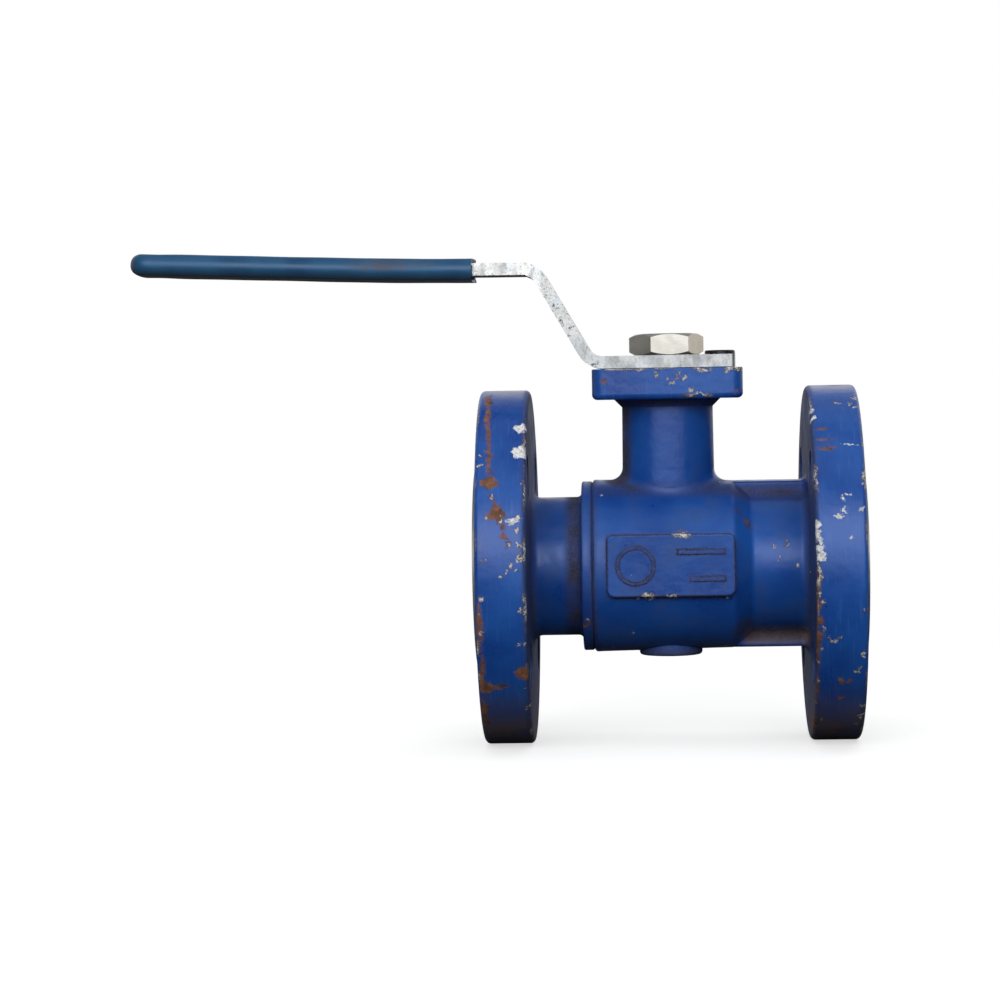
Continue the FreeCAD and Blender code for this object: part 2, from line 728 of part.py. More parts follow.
def lever_plan():
    """The lever seen from above, as a prism that trims the bent plate."""
    head = lever_head_width / 2
    arm = lever_arm_width / 2
    rise_end = lever_head_reach + lever_height / math.tan(math.radians(lever_rise_angle))
    taper_start = lever_head_reach + lever_bend_radius / 2
    tip = lever_tip
    corners = [
        (lever_tail, -head, head_corner_round), (lever_tail, head, head_corner_round),
        (-taper_start, head, lever_shoulder_radius), (-rise_end, arm, lever_taper_radius),
        (-tip, arm, lever_tip_round),
        (-tip, -arm, lever_tip_round),
        (-rise_end, -arm, lever_taper_radius), (-taper_start, -head, lever_shoulder_radius)]
    wire = rounded_wire(corners, lambda p: Vector(p.x, p.y, lever_bottom_z - overcut))
    return Part.Face(wire).extrude(Vector(0, 0, lever_height + lever_tip))


def plate_from(face, width):
    """A flat face in the XZ plane made into a plate, centred on the XZ plane."""
    plate = face.extrude(Vector(0, width, 0))
    plate.translate(Vector(0, -width / 2, 0))
    return plate


def make_lever():
    bent = plate_from(lever_side_face(), lever_head_width + 2 * overcut)
    bar = plate_from(hand_bar_face(lever_level_x - lever_stub, lever_tip + overcut, 0, -lever_thickness),
                     lever_head_width + 2 * overcut)
    beyond = block(-2 * lever_tip, -lever_level_x, -lever_head_width, lever_head_width,
                   lever_top_z, lever_top_z + lever_height + lever_tip)
    blank = bent.cut(beyond)
    bar = bar.common(beyond)
    lever = blank.fuse(bar).removeSplitter().common(lever_plan())
    flat = stem_flat_half + fit_gap
    hole = rod_z(stem_thread_radius + fit_gap, lever_bottom_z - overcut, lever_top_z + overcut)
    hole = hole.common(block(-stem_radius - overcut, stem_radius + overcut, -flat, flat,
                             lever_bottom_z - 2 * overcut, lever_top_z + 2 * overcut))
    return cleaned(lever.cut(hole))


def make_lever_grip():
    """Closed-ended sleeve over the hand bar, no thicker at the mouth than along its length."""
    above = (grip_height - lever_thickness) / 2
    mouth_x = lever_tip + grip_end_wall - grip_length
    end_x = lever_tip + grip_end_wall
    skin = plate_from(hand_bar_face(mouth_x, end_x, above, -lever_thickness - above), grip_width)
    long_edges = [e for e in skin.Edges
                  if e.BoundBox.YLength < pick_gap and e.BoundBox.XLength > grip_length / 2]
    skin = skin.makeFillet(grip_edge_radius, long_edges)
    bar = plate_from(hand_bar_face(lever_level_x - lever_stub, lever_tip + overcut, 0, -lever_thickness),
                     lever_head_width + 2 * overcut)
    return cleaned(skin.cut(bar.common(lever_plan())))


def make_lever_nut():
    bottom = lever_top_z
    top = lever_top_z + lever_nut_height
    nut = chamfered_hexagon(lever_nut_width, bottom, top, lever_nut_turn)
    bore = stem_thread_radius + fit_gap
    hollow = turned_about_z([
        (0, bottom - overcut), (bore + nut_countersink, bottom - overcut),
        (bore, bottom + nut_countersink_depth), (bore, top - nut_countersink_depth),
        (bore + nut_countersink, top + overcut), (0, top + overcut)])
    return cleaned(nut.cut(hollow))


def make_stop_screw():
    """Socket-head cap screw in the pad's rear right hole; its head stops the lever both ways."""
    head = turned_about_z([
        (0, pad_top_z), (screw_head_radius, pad_top_z),
        (screw_head_radius, pad_top_z + screw_head_height, screw_head_round),
        (0, pad_top_z + screw_head_height)])
    shank = rod_z(pad_hole_radius - fit_gap, pad_bottom_z + overcut, pad_top_z + overcut)
    head_top = pad_top_z + screw_head_height
    socket = hexagon_z(screw_socket_width, head_top - screw_socket_depth, head_top + overcut)
    screw = cleaned(head.fuse(shank).cut(socket))
    screw.translate(Vector(pad_hole_offset, pad_hole_offset, 0))
    return screw


# ---------------------------------------------------------------- the whole valve
pieces = {
    "body_casting": make_body_casting(),
    "end_piece": make_end_piece(),
    "body_gasket": make_body_gasket(),
    "ball": make_ball(),
    "seat_body_side": make_seat(1),
    "seat_end_side": make_seat(-1),
    "stem": make_stem(),
    "thrust_washer": make_thrust_washer(),
    "packing_bottom_ring": make_packing_bottom_ring(),
    "packing_v_rings": make_packing_v_rings(),
    "packing_top_ring": make_packing_top_ring(),
    "gland_bush": make_gland_bush(),
    "disc_springs": make_disc_springs(),
    "gland_nut": make_gland_nut(),
    "tab_washer": make_tab_washer(),
    "antistatic_ball": make_antistatic_ball(),
    "antistatic_spring": make_antistatic_spring(),
    "lever": make_lever(),
    "lever_grip": make_lever_grip(),
    "lever_nut": make_lever_nut(),
    "stop_screw": make_stop_screw(),
}

os.makedirs("parts", exist_ok=True)
for name, shape in pieces.items():
    shape.exportStep(os.path.join("parts", name + ".step"))
    box = shape.BoundBox
    print(f"{name:20s} solids {len(shape.Solids)} valid {shape.isValid()} volume {shape.Volume:10.2f}"
          f"  x {box.XMin:8.2f} {box.XMax:8.2f}  y {box.YMin:7.2f} {box.YMax:7.2f}"
          f"  z {box.ZMin:7.2f} {box.ZMax:7.2f}")
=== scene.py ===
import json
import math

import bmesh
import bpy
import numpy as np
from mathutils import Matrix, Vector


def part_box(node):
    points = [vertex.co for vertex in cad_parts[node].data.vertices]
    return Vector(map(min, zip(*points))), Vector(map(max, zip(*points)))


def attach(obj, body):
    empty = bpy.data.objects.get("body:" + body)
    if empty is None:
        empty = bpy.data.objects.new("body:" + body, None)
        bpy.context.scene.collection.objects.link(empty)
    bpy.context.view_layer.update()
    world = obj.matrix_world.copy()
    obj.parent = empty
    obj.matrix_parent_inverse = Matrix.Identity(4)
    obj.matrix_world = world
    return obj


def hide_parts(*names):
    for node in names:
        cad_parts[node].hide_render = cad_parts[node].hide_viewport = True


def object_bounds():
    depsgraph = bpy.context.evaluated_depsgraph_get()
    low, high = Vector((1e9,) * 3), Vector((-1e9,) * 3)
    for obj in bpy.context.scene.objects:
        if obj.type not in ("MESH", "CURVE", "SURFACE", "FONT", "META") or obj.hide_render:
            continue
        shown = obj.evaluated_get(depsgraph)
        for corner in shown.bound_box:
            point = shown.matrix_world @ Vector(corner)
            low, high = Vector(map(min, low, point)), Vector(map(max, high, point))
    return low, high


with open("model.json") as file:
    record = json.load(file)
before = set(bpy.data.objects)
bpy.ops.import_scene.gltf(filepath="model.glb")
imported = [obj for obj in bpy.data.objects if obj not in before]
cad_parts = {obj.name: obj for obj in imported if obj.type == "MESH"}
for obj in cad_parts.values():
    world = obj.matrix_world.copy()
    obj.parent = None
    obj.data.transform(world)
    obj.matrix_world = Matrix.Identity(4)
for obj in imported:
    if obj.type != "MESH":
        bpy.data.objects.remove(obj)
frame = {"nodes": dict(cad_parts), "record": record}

# %% [markdown]
# # A flanged lever ball valve
# The frame that was just loaded holds every metal piece of a small steel ball valve: two castings bolted
# into a pipe through their flanges, a ball between them, a stem, a nut and a bent lever. Most of those shapes
# are finished. What is left to do here is the look: old blue enamel that is chipped and rusty, zinc plating,
# stainless steel, and the soft sleeve on the lever, which is made as a new surface.
# Everything is in metres, but a maker thinks in millimetres, so the sizes below are written in millimetres.

scene = bpy.context.scene
frame_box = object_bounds()
MM = 0.001
print("nodes:", len(frame["nodes"]), "box in mm:", [[round(v / MM, 1) for v in c] for c in frame_box])

# %% [markdown]
# ## Colour and nodes
# Paint charts and screens give colours as sRGB hex values, but a renderer adds up light, so it needs them
# linear: one function turns the one into the other. The second helper adds one shader node with its
# settings and its links, so that a material reads as a list of what it is made of. The third starts one.

# %% Colour and node helpers
def linear(colour):
    """Linear RGBA of an sRGB hex colour: a channel c under 0.04045 is c / 12.92, and any other is
    (c + 0.055) / 1.055, raised to 2.4."""
    c = np.array([int(colour[i:i + 2], 16) for i in (1, 3, 5)]) / 255
    rgb = np.where(c < 0.04045, c / 12.92, ((c + 0.055) / 1.055) ** 2.4)
    return (*rgb.tolist(), 1.0)


def add(tree, kind, inputs=None, **settings):
    """One shader node: settings are its properties; inputs are values, or sockets that get linked."""
    node = tree.nodes.new("ShaderNode" + kind)
    for name, value in settings.items():
        setattr(node, name, value)
    for key, value in (inputs or {}).items():
        if isinstance(value, bpy.types.NodeSocket):
            tree.links.new(value, node.inputs[key])
        else:
            node.inputs[key].default_value = value
    return node


def material(name):
    """An empty node material, and its tree."""
    made = bpy.data.materials.new(name)
    made.use_nodes = True
    made.node_tree.nodes.clear()
    return made, made.node_tree


print("enamel blue, linear:", [round(v, 3) for v in linear("#1F4C99")])

# %% [markdown]
# ## Arithmetic with nodes
# A material is mostly arithmetic on a place: how far is this point from that one, and how much dirt does
# that make? A few kinds of node do nearly all of it, so each has a short helper that gives the node's result.
# Blender numbers the inputs of these nodes, and the helpers give the numbers names.

# %% Helpers for arithmetic, ramps, blends and noise
def calc(tree, operation, *values):
    """The result of one step of arithmetic on up to three numbers."""
    return add(tree, "Math", dict(enumerate(values)), operation=operation).outputs[0]


def vector_calc(tree, operation, *vectors):
    """The same for vectors: it gives a number for a length or a distance, and otherwise a vector."""
    node = add(tree, "VectorMath", dict(enumerate(vectors)), operation=operation)
    return node.outputs["Value" if operation in ("LENGTH", "DISTANCE") else "Vector"]


def ramp(tree, value, start=0.0, end=1.0, low=0.0, high=1.0, smooth=False):
    """Goes from low to high while value goes from start to end, and stays level before and after."""
    numbers = {0: value, 1: start, 2: end, 3: low, 4: high}
    return add(tree, "MapRange", numbers, interpolation_type="SMOOTHSTEP" if smooth else "LINEAR").outputs[0]


def between(tree, share, low, high):
    """low + (high - low) * share, for numbers."""
    return add(tree, "Mix", {0: share, 2: low, 3: high}).outputs[0]


def blend(tree, share, below, above, how="MIX"):
    """The same for colours: the one above covers the one below by a share."""
    layers = {0: share, 6: below, 7: above}
    return add(tree, "Mix", layers, data_type="RGBA", blend_type=how).outputs[2]


def cloudy(tree, place, size, detail=2.0, roughness=0.5):
    """Noise from 0 to 1 with its largest clouds about size mm across."""
    numbers = {"Vector": place, "Scale": 1 / size, "Detail": detail, "Roughness": roughness}
    return add(tree, "TexNoise", numbers).outputs["Fac"]


def surface(tree, colour, rough, height, strength, depth, **more):
    """The last three nodes of a finish: colour and roughness over bumps of a height, scaled to depth mm."""
    bump = add(tree, "Bump", {"Height": height, "Strength": strength, "Distance": depth * MM}).outputs[0]
    inputs = {"Base Color": colour, "Roughness": rough, "Normal": bump, **more}
    shader = add(tree, "BsdfPrincipled", inputs)
    add(tree, "OutputMaterial", {"Surface": shader.outputs[0]})


print("helpers: calc, vector_calc, ramp, between, blend, cloudy, surface")

# %% [markdown]
# ## The camera
# The valve is seen from straight in front, a little from above, with a long lens, as a catalogue would show
# it: the further away the camera, the less the two flanges spread. The camera stands 0.97 m in front of the
# valve. It is turned about the upright axis first, then tipped down, then rolled by about one degree.

# %% Camera
CAMERA_PLACE = Vector((-4.7, -968.6, 53.9)) * MM
CAMERA_TURN, CAMERA_TIP, CAMERA_ROLL = 0.0519, -0.0330, -0.0179   # radians
LENS, SENSOR = 107.0, 36.0                                        # mm

aim = Matrix.Rotation(CAMERA_TURN, 3, "Z") @ Matrix.Rotation(CAMERA_TIP, 3, "X")
right, ahead, up = (aim @ Vector(axis) for axis in ((1, 0, 0), (0, 1, 0), (0, 0, 1)))
rolled_right = math.cos(CAMERA_ROLL) * right + math.sin(CAMERA_ROLL) * up
rolled_up = math.cos(CAMERA_ROLL) * up - math.sin(CAMERA_ROLL) * right
turned = Matrix((rolled_right, rolled_up, -ahead)).transposed()

camera = bpy.data.objects.new("camera", bpy.data.cameras.new("camera"))
scene.collection.objects.link(camera)
camera.data.lens, camera.data.sensor_width = LENS, SENSOR
camera.data.clip_start, camera.data.clip_end = 0.05, 50.0
camera.matrix_world = Matrix.Translation(CAMERA_PLACE) @ turned.to_4x4()
scene.camera = camera
print("camera looks along", [round(v, 3) for v in ahead])

# %% [markdown]
# ## The studio
# A wide soft window in front lights the blue paint, a softbox overhead lights the upper sides, and a weaker
# window behind keeps the back from going black. The room itself is only a weak fill. What the camera and the
# shiny metal see of the room is plain white, which Light Path allows without putting more light on the valve.
# Grey cards stand round it, out of the camera's sight. Only reflections see them: photographers use such
# cards so that polished steel and gloss paint have a darker side. The window is a card too. The lamp behind
# it lights the valve but isn't reflected, and the card, which is brightest in its middle and fades to its
# edges, draws the broad pale band on every round face.

# %% Lamps
def lamp(name, place, size, watts, reflected):
    """A rectangular soft light at place, in mm, that faces the valve and may show in reflections."""
    data = bpy.data.lights.new(name, "AREA")
    data.shape, data.size, data.size_y, data.energy = "RECTANGLE", size[0] * MM, size[1] * MM, watts
    thing = bpy.data.objects.new(name, data)
    scene.collection.objects.link(thing)
    thing.location = Vector(place) * MM
    thing.rotation_mode = "QUATERNION"
    thing.rotation_quaternion = (-thing.location).to_track_quat("-Z", "Y")
    thing.visible_glossy = reflected
    return thing


lamps = [
    lamp("front_window", (-120, -1250, 520), (1300, 620), 10.4, reflected=False),
    lamp("top_softbox", (0, -150, 1300), (1500, 1100), 4.0, reflected=True),
    lamp("back_window", (300, 1300, 700), (1300, 620), 4.5, reflected=False),
]
print("lamps:", [(thing.name, thing.data.energy) for thing in lamps])

# %% World
world = bpy.data.worlds.new("white room")
scene.world = world
world.use_nodes = True
tree = world.node_tree
tree.nodes.clear()
rays = add(tree, "LightPath").outputs
seen = calc(tree, "MAXIMUM", rays["Is Camera Ray"], rays["Is Glossy Ray"])
seen = calc(tree, "MAXIMUM", seen, rays["Is Transmission Ray"])
fill = add(tree, "Background", {"Color": linear("#F4F6FA"), "Strength": 0.32})
white = add(tree, "Background", {"Color": (1, 1, 1, 1), "Strength": 1.0})
room = add(tree, "MixShader", {0: seen, 1: fill.outputs[0], 2: white.outputs[0]})
add(tree, "OutputWorld", {"Surface": room.outputs[0]})
print("world nodes:", len(tree.nodes))

# %% Floor and cards
FLOOR_REACH = 6000                                                       # mm, as are the next two lines
SIDE, FRONT, BACK, TOP = 950, -1900, 950, 1250                           # the room of cards round the valve
WINDOW_LEFT, WINDOW_RIGHT, WINDOW_Y, WINDOW_TOP = -1600, 1100, -1245, 1200
WINDOW_GLOW, WINDOW_EDGE = 3.0, 0.35                                     # its brightness, middle and edge
floor_z = frame_box[0].z / MM


def standing(start, end, top):
    """Corners of a panel that stands on the floor between two places (x, y)."""
    return [(*start, floor_z), (*end, floor_z), (*end, top), (*start, top)]


def level_at(low, high, z):
    """Corners of a level panel at height z between its lowest and highest (x, y)."""
    return [(low[0], low[1], z), (high[0], low[1], z), (high[0], high[1], z), (low[0], high[1], z)]


def panel(name, corners, look):
    """A flat four-cornered panel from its corners in mm."""
    mesh = bpy.data.meshes.new(name)
    mesh.from_pydata([Vector(c) * MM for c in corners], [], [(0, 1, 2, 3)])
    mesh.materials.append(look)
    thing = bpy.data.objects.new(name, mesh)
    scene.collection.objects.link(thing)
    return thing


def floor_material():
    """Pale matt floor. To the eye it is a light grey that keeps the valve's shadow, and it fades to the white
    of the room away from the valve. To reflections and bounced light it is a dark grey."""
    made, tree = material("pale matt floor")
    place = add(tree, "TexCoord").outputs["Object"]
    away = vector_calc(tree, "LENGTH", place)
    fade = ramp(tree, away, 0.14, 0.50, smooth=True)
    lit = add(tree, "BsdfDiffuse", {"Color": linear("#DADAD8")})
    glow = add(tree, "Emission", {"Color": (1, 1, 1, 1), "Strength": 0.60})
    near = add(tree, "AddShader", {0: lit.outputs[0], 1: glow.outputs[0]})
    far = add(tree, "Emission", {"Color": (1, 1, 1, 1), "Strength": 1.0})
    to_eye = add(tree, "MixShader", {0: fade, 1: near.outputs[0], 2: far.outputs[0]})
    to_rest = add(tree, "BsdfDiffuse", {"Color": linear("#474747")})
    ray = add(tree, "LightPath").outputs["Is Camera Ray"]
    both = add(tree, "MixShader", {0: ray, 1: to_rest.outputs[0], 2: to_eye.outputs[0]})
    add(tree, "OutputMaterial", {"Surface": both.outputs[0]})
    return made


def card_material(name, beside, behind, far, strength=1.0):
    """An unlit grey for a card that only reflections see: one grey beside the valve and in front of it,
    another half a metre behind it, and a third from 0.9 m on."""
    made, tree = material(name)
    place = add(tree, "TexCoord").outputs["Object"]
    depth = add(tree, "SeparateXYZ", {0: place}).outputs[1]
    grey = linear(beside)
    for start, end, colour in ((0.10, 0.45, behind), (0.60, 0.90, far)):
        share = ramp(tree, depth, start, end)
        grey = blend(tree, share, grey, linear(colour))
    glow = add(tree, "Emission", {"Color": grey, "Strength": strength})
    add(tree, "OutputMaterial", {"Surface": glow.outputs[0]})
    return made


def window_material():
    """The glow of the window card: a low level, and on top of it a smooth rise and fall up the card, times a
    slow rise from its left edge and a quick fall at its right edge."""
    made, tree = material("window card")
    place = add(tree, "TexCoord").outputs["Object"]
    x, _, z = add(tree, "SeparateXYZ", {0: place}).outputs
    share = None
    for axis, dark, light in ((z, -0.15, 0.40), (z, 1.15, 0.60), (x, -1.55, -0.75), (x, 1.05, 0.90)):
        part = ramp(tree, axis, dark, light, smooth=True)
        share = part if share is None else calc(tree, "MULTIPLY", share, part)
    strength = calc(tree, "MULTIPLY_ADD", share, WINDOW_GLOW - WINDOW_EDGE, WINDOW_EDGE)
    glow = add(tree, "Emission", {"Color": linear("#FAFCFF"), "Strength": strength})
    add(tree, "OutputMaterial", {"Surface": glow.outputs[0]})
    return made


panel("floor", level_at((-FLOOR_REACH, -FLOOR_REACH), (FLOOR_REACH, FLOOR_REACH), floor_z), floor_material())
cards = [
    panel("left_card", standing((-SIDE, FRONT), (-SIDE, BACK), TOP),
          card_material("left card", "#2B2A28", "#BAB6A9", "#6A6760")),
    panel("right_card", standing((SIDE, FRONT), (SIDE, BACK), TOP),
          card_material("right card", "#2A2928", "#E9E4DD", "#716E6B", 1.6)),
    panel("ceiling_card", level_at((-SIDE, FRONT), (SIDE, 2 * BACK), TOP),
          card_material("ceiling card", "#3A3B3E", "#A8AAAE", "#9A9CA0")),
    panel("front_card", standing((-SIDE, FRONT), (SIDE, FRONT), TOP),
          card_material("front card", "#262626", "#262626", "#262626")),
    panel("window_card", standing((WINDOW_LEFT, WINDOW_Y), (WINDOW_RIGHT, WINDOW_Y), WINDOW_TOP),
          window_material()),
]
for card in cards:
    card.visible_camera = card.visible_diffuse = card.visible_shadow = False
    card.visible_transmission = card.visible_volume_scatter = False
print("floor at", round(floor_z, 2), "mm;", len(cards), "cards")

# %% [markdown]
# ## Where a finish is
# Paint wears where things knock against it: along the rims of the flanges and on the corners of the pad. Dirt
# stays where nobody can wipe: in the groove between the castings and where two shapes meet, and these places
# are painted darker as painted shade as well. So every finish starts from the place on the valve, in
# millimetres. A spot is a ball round a chosen place, or a longer shape if space is first squeezed along one
# axis. `nearest` measures how far it is to the edge of the closest one.
# The place is shaken by some noise before that, so that no spot keeps a neat outline.

# %% Place in millimetres, and the distance to spots
SHAKE = 6.5                                # mm for the noise's whole range, of which it uses about a third


def places(tree):
    """The place on the valve in mm, the same shaken by up to a millimetre or so, and the shaking noise."""
    metres = add(tree, "TexCoord").outputs["Object"]
    place = add(tree, "VectorMath", {0: metres, 3: 1 / MM}, operation="SCALE").outputs[0]
    noise = add(tree, "TexNoise", {"Vector": place, "Scale": 1 / 2.8, "Detail": 5.0, "Roughness": 0.68})
    centred = vector_calc(tree, "SUBTRACT", noise.outputs["Color"], (0.5, 0.5, 0.5))
    shake = add(tree, "VectorMath", {0: centred, 3: SHAKE}, operation="SCALE").outputs[0]
    shaken = vector_calc(tree, "ADD", place, shake)
    return place, shaken, noise.outputs["Fac"]


def nearest(tree, place, groups):
    """Distance in mm to the edge of the nearest spot, negative inside it. Each group has a squeeze of space
    along x, y and z, and its spots (centre, radius)."""
    best = None
    for squeeze, spots in groups:
        squeezed = vector_calc(tree, "MULTIPLY", place, squeeze)
        for centre, size in spots:
            there = tuple(c * q for c, q in zip(centre, squeeze))
            away = vector_calc(tree, "DISTANCE", squeezed, there)
            away = calc(tree, "SUBTRACT", away, size)
            best = away if best is None else calc(tree, "MINIMUM", best, away)
    return best


print("helpers: places, nearest")

# %% [markdown]
# ## The wear on the flanges
# The two rims are what the eye meets first. They are described unrolled: how far along the pipe, and how many
# degrees up from the front. Rust is brown, a chip shows old primer that has gone beige and dirty, and a fresh
# knock shows clean white primer. A valve is knocked where it sticks out, so small knocks are strewn by chance
# over zones along the rims' corners, larger marks each in a small zone of their own, and a scrape is a row of
# marks. A few more are set one by one, nearly all of them where the front doesn't show.

# %% Measures of the castings in mm, and helpers for marks
RIM_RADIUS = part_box("body_casting")[1][1] / MM
RIM_FADE = 55.5, 54.5                              # rim marks fade out from the first radius to the second
RIM_FACE = 55.0                                    # whatever lies further out than this is the rim's own face
FLANGE_MIDDLE, FLANGE_HALF = 52.5, 8.0             # along the pipe, both ways from the ball
PIPE_RADIUS, RING_RADIUS = 22.5, 28.0              # of the pipe ends, and of the end piece's ring
PAD_HALF, PAD_TOP = 24.0, 63.7
PAD_FRONT, PLATE_FRONT = -PAD_HALF, -28.7
FACE_START, FACE_RADIUS, BORE_RADIUS = 60.7, 34.3, 12.8      # limits of the turned steel
chance = np.random.default_rng(25)


def strew(number, lowest, highest, least, most):
    """Marks (place, size) by chance between two corners of a zone, most of them small:
    size = least + (most - least) * u * u, with u even from 0 to 1."""
    return [(tuple(chance.uniform(lowest, highest)), least + (most - least) * chance.random() ** 2)
            for _ in range(number)]


def row(number, start, end, size):
    """Marks of one size, evenly from one place to another."""
    return [(tuple(place), size) for place in np.linspace(start, end, number)]


def on_round(marks, radius):
    """Marks at (x, degrees up from the front) put on a round surface: y = -r cos a, z = r sin a."""
    return [((x, -radius * math.cos(math.radians(a)), radius * math.sin(math.radians(a))), size)
            for (x, a), size in marks]


def unrolled(groups):
    """Groups of rim marks with degrees turned into a length round the rim: r a, with a in radians."""
    return [(squeeze, [((x, math.radians(a) * RIM_RADIUS, 0.0), size) for (x, a), size in marks])
            for squeeze, marks in groups]


print("rim radius", round(float(RIM_RADIUS), 2), "mm; helpers: strew, row, on_round, unrolled")

# %% Wear on the rims: places are (x in mm, degrees up from the front)
ROUND, LONG, WIDE = (1, 1, 0), (1, 0.12, 0), (0.28, 1, 0)

RIM_WEAR = {
    "end_piece": {
        "rust": [(ROUND, strew(1, (-56, 30), (-54, 40), 2.6, 3.0) + strew(1, (-54, 20), (-52, 30), 2.4, 2.7)
                  + strew(1, (-48, -40), (-46, -30), 2.6, 2.8) + strew(1, (-58, -45), (-56, -35), 2.0, 2.4)
                  + row(7, (-55, 25), (-50, 10), 1.0) + [((-50, 150), 4.0)]),
                 (LONG, row(4, (-57, 70), (-56, 40), 0.8) + row(3, (-59, -15), (-59, -50), 0.9)),
                 (WIDE, strew(1, (-56, -45), (-52, -35), 0.9, 1.1) + [((-52, 120), 1.5)])],
        "chips": [(ROUND, strew(12, (-47.5, -50), (-45, 45), 0.5, 1.2)
                   + strew(6, (-59.5, -35), (-57.5, 50), 0.4, 1.1)
                   + row(3, (-55, 25), (-50, 10), 0.6) + row(4, (-47, 5), (-52, 0), 0.55)
                   + [((-46, -150), 2.0)]),
                  (LONG, row(4, (-44.8, 45), (-44.8, -10), 0.5) + [((-59, 165), 1.0)])],
        "primer": [(ROUND, strew(1, (-48, 50), (-46, 55), 2.0, 2.2)
                    + strew(1, (-48, 35), (-46, 45), 2.0, 2.3)),
                   (WIDE, strew(1, (-49, 10), (-47, 20), 0.7, 0.9) + [((-52, 175), 0.6)])],
    },
    "body_casting": {
        "rust": [(ROUND, row(3, (45, -10), (45, -20), 1.4) + strew(3, (52, -55), (60, -30), 0.8, 1.3)
                  + [((53, -138), 4.0)]),
                 (LONG, row(4, (44.5, -5), (44.5, -60), 0.8) + [((57, 118), 1.8)]),
                 (WIDE, strew(3, (47, 40), (54, 55), 0.3, 0.7) + strew(1, (49, -70), (54, -60), 0.5, 0.7)
                  + [((55, 86), 0.8)])],
        "chips": [(ROUND, strew(6, (47, 60), (60, 70), 0.5, 1.0) + strew(8, (44.5, -60), (46.5, -5), 0.5, 0.9)
                   + strew(10, (56, -60), (60, -5), 0.5, 1.1) + strew(4, (48, -25), (52, -15), 0.5, 0.8)),
                  (LONG, row(2, (45, 30), (45, 0), 0.5)
                   + [((60, 30), 0.5), ((46, 130), 1.2), ((58, -170), 1.0)])],
        "primer": [(ROUND, row(5, (45, 15), (46, 5), 1.2) + row(2, (45, 60), (45, 55), 1.1)
                    + strew(6, (47, 0), (59, 25), 0.4, 0.75)),
                   (WIDE, strew(1, (55, 35), (59, 45), 0.5, 0.5))],
    },
}
print("rim wear:", {node: {layer: sum(len(marks) for _, marks in groups) for layer, groups in layers.items()}
                    for node, layers in RIM_WEAR.items()})

# %% Wear, dirt and painted shade elsewhere: places are (x, y, z) in mm
BALL, FLAT, LINE = (1, 1, 1), (0.35, 0.2, 1), (0.12, 0.2, 1)
BAND, RIB, DISC, UPRIGHT = (1, 0, 0), (0, 0.35, 1), (0.2, 0.2, 1), (1, 0.5, 0.12)
CAST_CHIPS = {
    "end_piece": [(BALL, on_round(strew(2, (-27, -38), (-26.5, -24), 0.5, 0.8), RING_RADIUS)
                   + [((-35, 22, 3), 0.8)])],
    "body_casting": [(BALL, strew(6, (-9, PAD_FRONT, 56), (12, PAD_FRONT, 63), 0.6, 0.9)
                      + on_round(strew(4, (33, -14), (41, 21), 0.5, 0.6), PIPE_RADIUS)
                      + [((24, 22, 59), 1.8), ((-10, 24, 60), 1.5)]),
                     (FLAT, strew(7, (-18, PAD_FRONT, 63), (23, PAD_FRONT, PAD_TOP), 0.4, 1.0)
                      + [((3, PLATE_FRONT, 11), 0.9), ((-7, PLATE_FRONT, -8.6), 0.7),
                         ((1, PLATE_FRONT, -8.6), 0.7)]),
                     (LINE, [((10, PAD_FRONT, 55), 0.45)])],
}
CAST_RUST = {
    "end_piece": [(BALL, on_round([((-27, -40), 1.3)], RING_RADIUS) + [((-35, 20, 12), 2.0)])],
    "body_casting": [(BALL, [((-20, PAD_FRONT, 60), 1.0), ((22, PAD_FRONT, 56), 0.8), ((24, -19.5, 15), 1.2),
                             ((10, 26, 9), 3.5), ((-8, 20, -20), 4.0)])],
}
# Dirt and painted shade: the grooves and fillets, the flanges' inner faces, the upper ribs' feet, the boss
# underneath and the shoulders are dirt painted darker as painted shade too; the zone on the neck's left side
# is dirt with a painted dark reflection.
DIRT_AND_SHADE = {
    "end_piece": [(BAND, [((-30.6, 0, 0), 2.8), ((-24.8, 0, 0), 0.9), ((-44.2, 0, 0), 1.2)])],
    "body_casting": [(BAND, [((-24.4, 0, 0), 0.9), ((44.2, 0, 0), 1.2)]),
                     (RIB, [((0, -7.5, 23.4), 2.6), ((0, 7.5, 23.4), 2.6)]),
                     (DISC, [((0, 0, -28.8), 3.4)]), (UPRIGHT, [((-15.8, -3, 42), 5.0)]),
                     (BALL, [((42, -9, 24.5), 4.5), ((24.5, -17, -21.5), 5.0), ((21.5, -14, 24.5), 2.8),
                             ((22.3, -20, 18.3), 1.6), ((24.8, -19, 13), 1.6)])],
}
# The lower ribs: dust, and a painted highlight along their fillets, which face up.
RIB_DUST_AND_HIGHLIGHT = [(RIB, [((0, -7.5, -23.2), 3.0), ((0, 7.5, -23.2), 3.0)])]
# Rings round the stem, as (distance from its axis, height): the neck's foot, and a band under the pad that is
# painted shadow as well as dirt.
ROUND_STEM = [(BALL, [((17, 25.6, 0), 2.0), ((17, 53.2, 0), 3.0)])]
print("cast wear:", sum(len(marks) for table in (CAST_CHIPS, CAST_RUST, DIRT_AND_SHADE) for groups in table.values()
                        for _, marks in groups), "places")

# %% [markdown]
# ## Blue gloss enamel on cast steel
# The castings were machined, primed and sprayed with blue enamel, then used for years. The paint has a soft
# gloss and is a little uneven over the cast skin; where it is chipped the primer shows, and rust creeps out
# from there. The raised faces and the bore were never painted: they are turned steel gone dull, with rings.
# Each casting has its own coat, because each has its own knocks.

# %% Enamel: rust, chips and primer
def share_of(tree, distance, soft):
    """From 0 outside to 1 inside an edge at distance 0, over soft mm each side."""
    return ramp(tree, distance, soft, -soft)


def joined(tree, one, other, how="MAXIMUM"):
    """Two shares put together: MAXIMUM is either, MULTIPLY is both."""
    return add(tree, "Math", {0: one, 1: other}, operation=how, use_clamp=True).outputs[0]


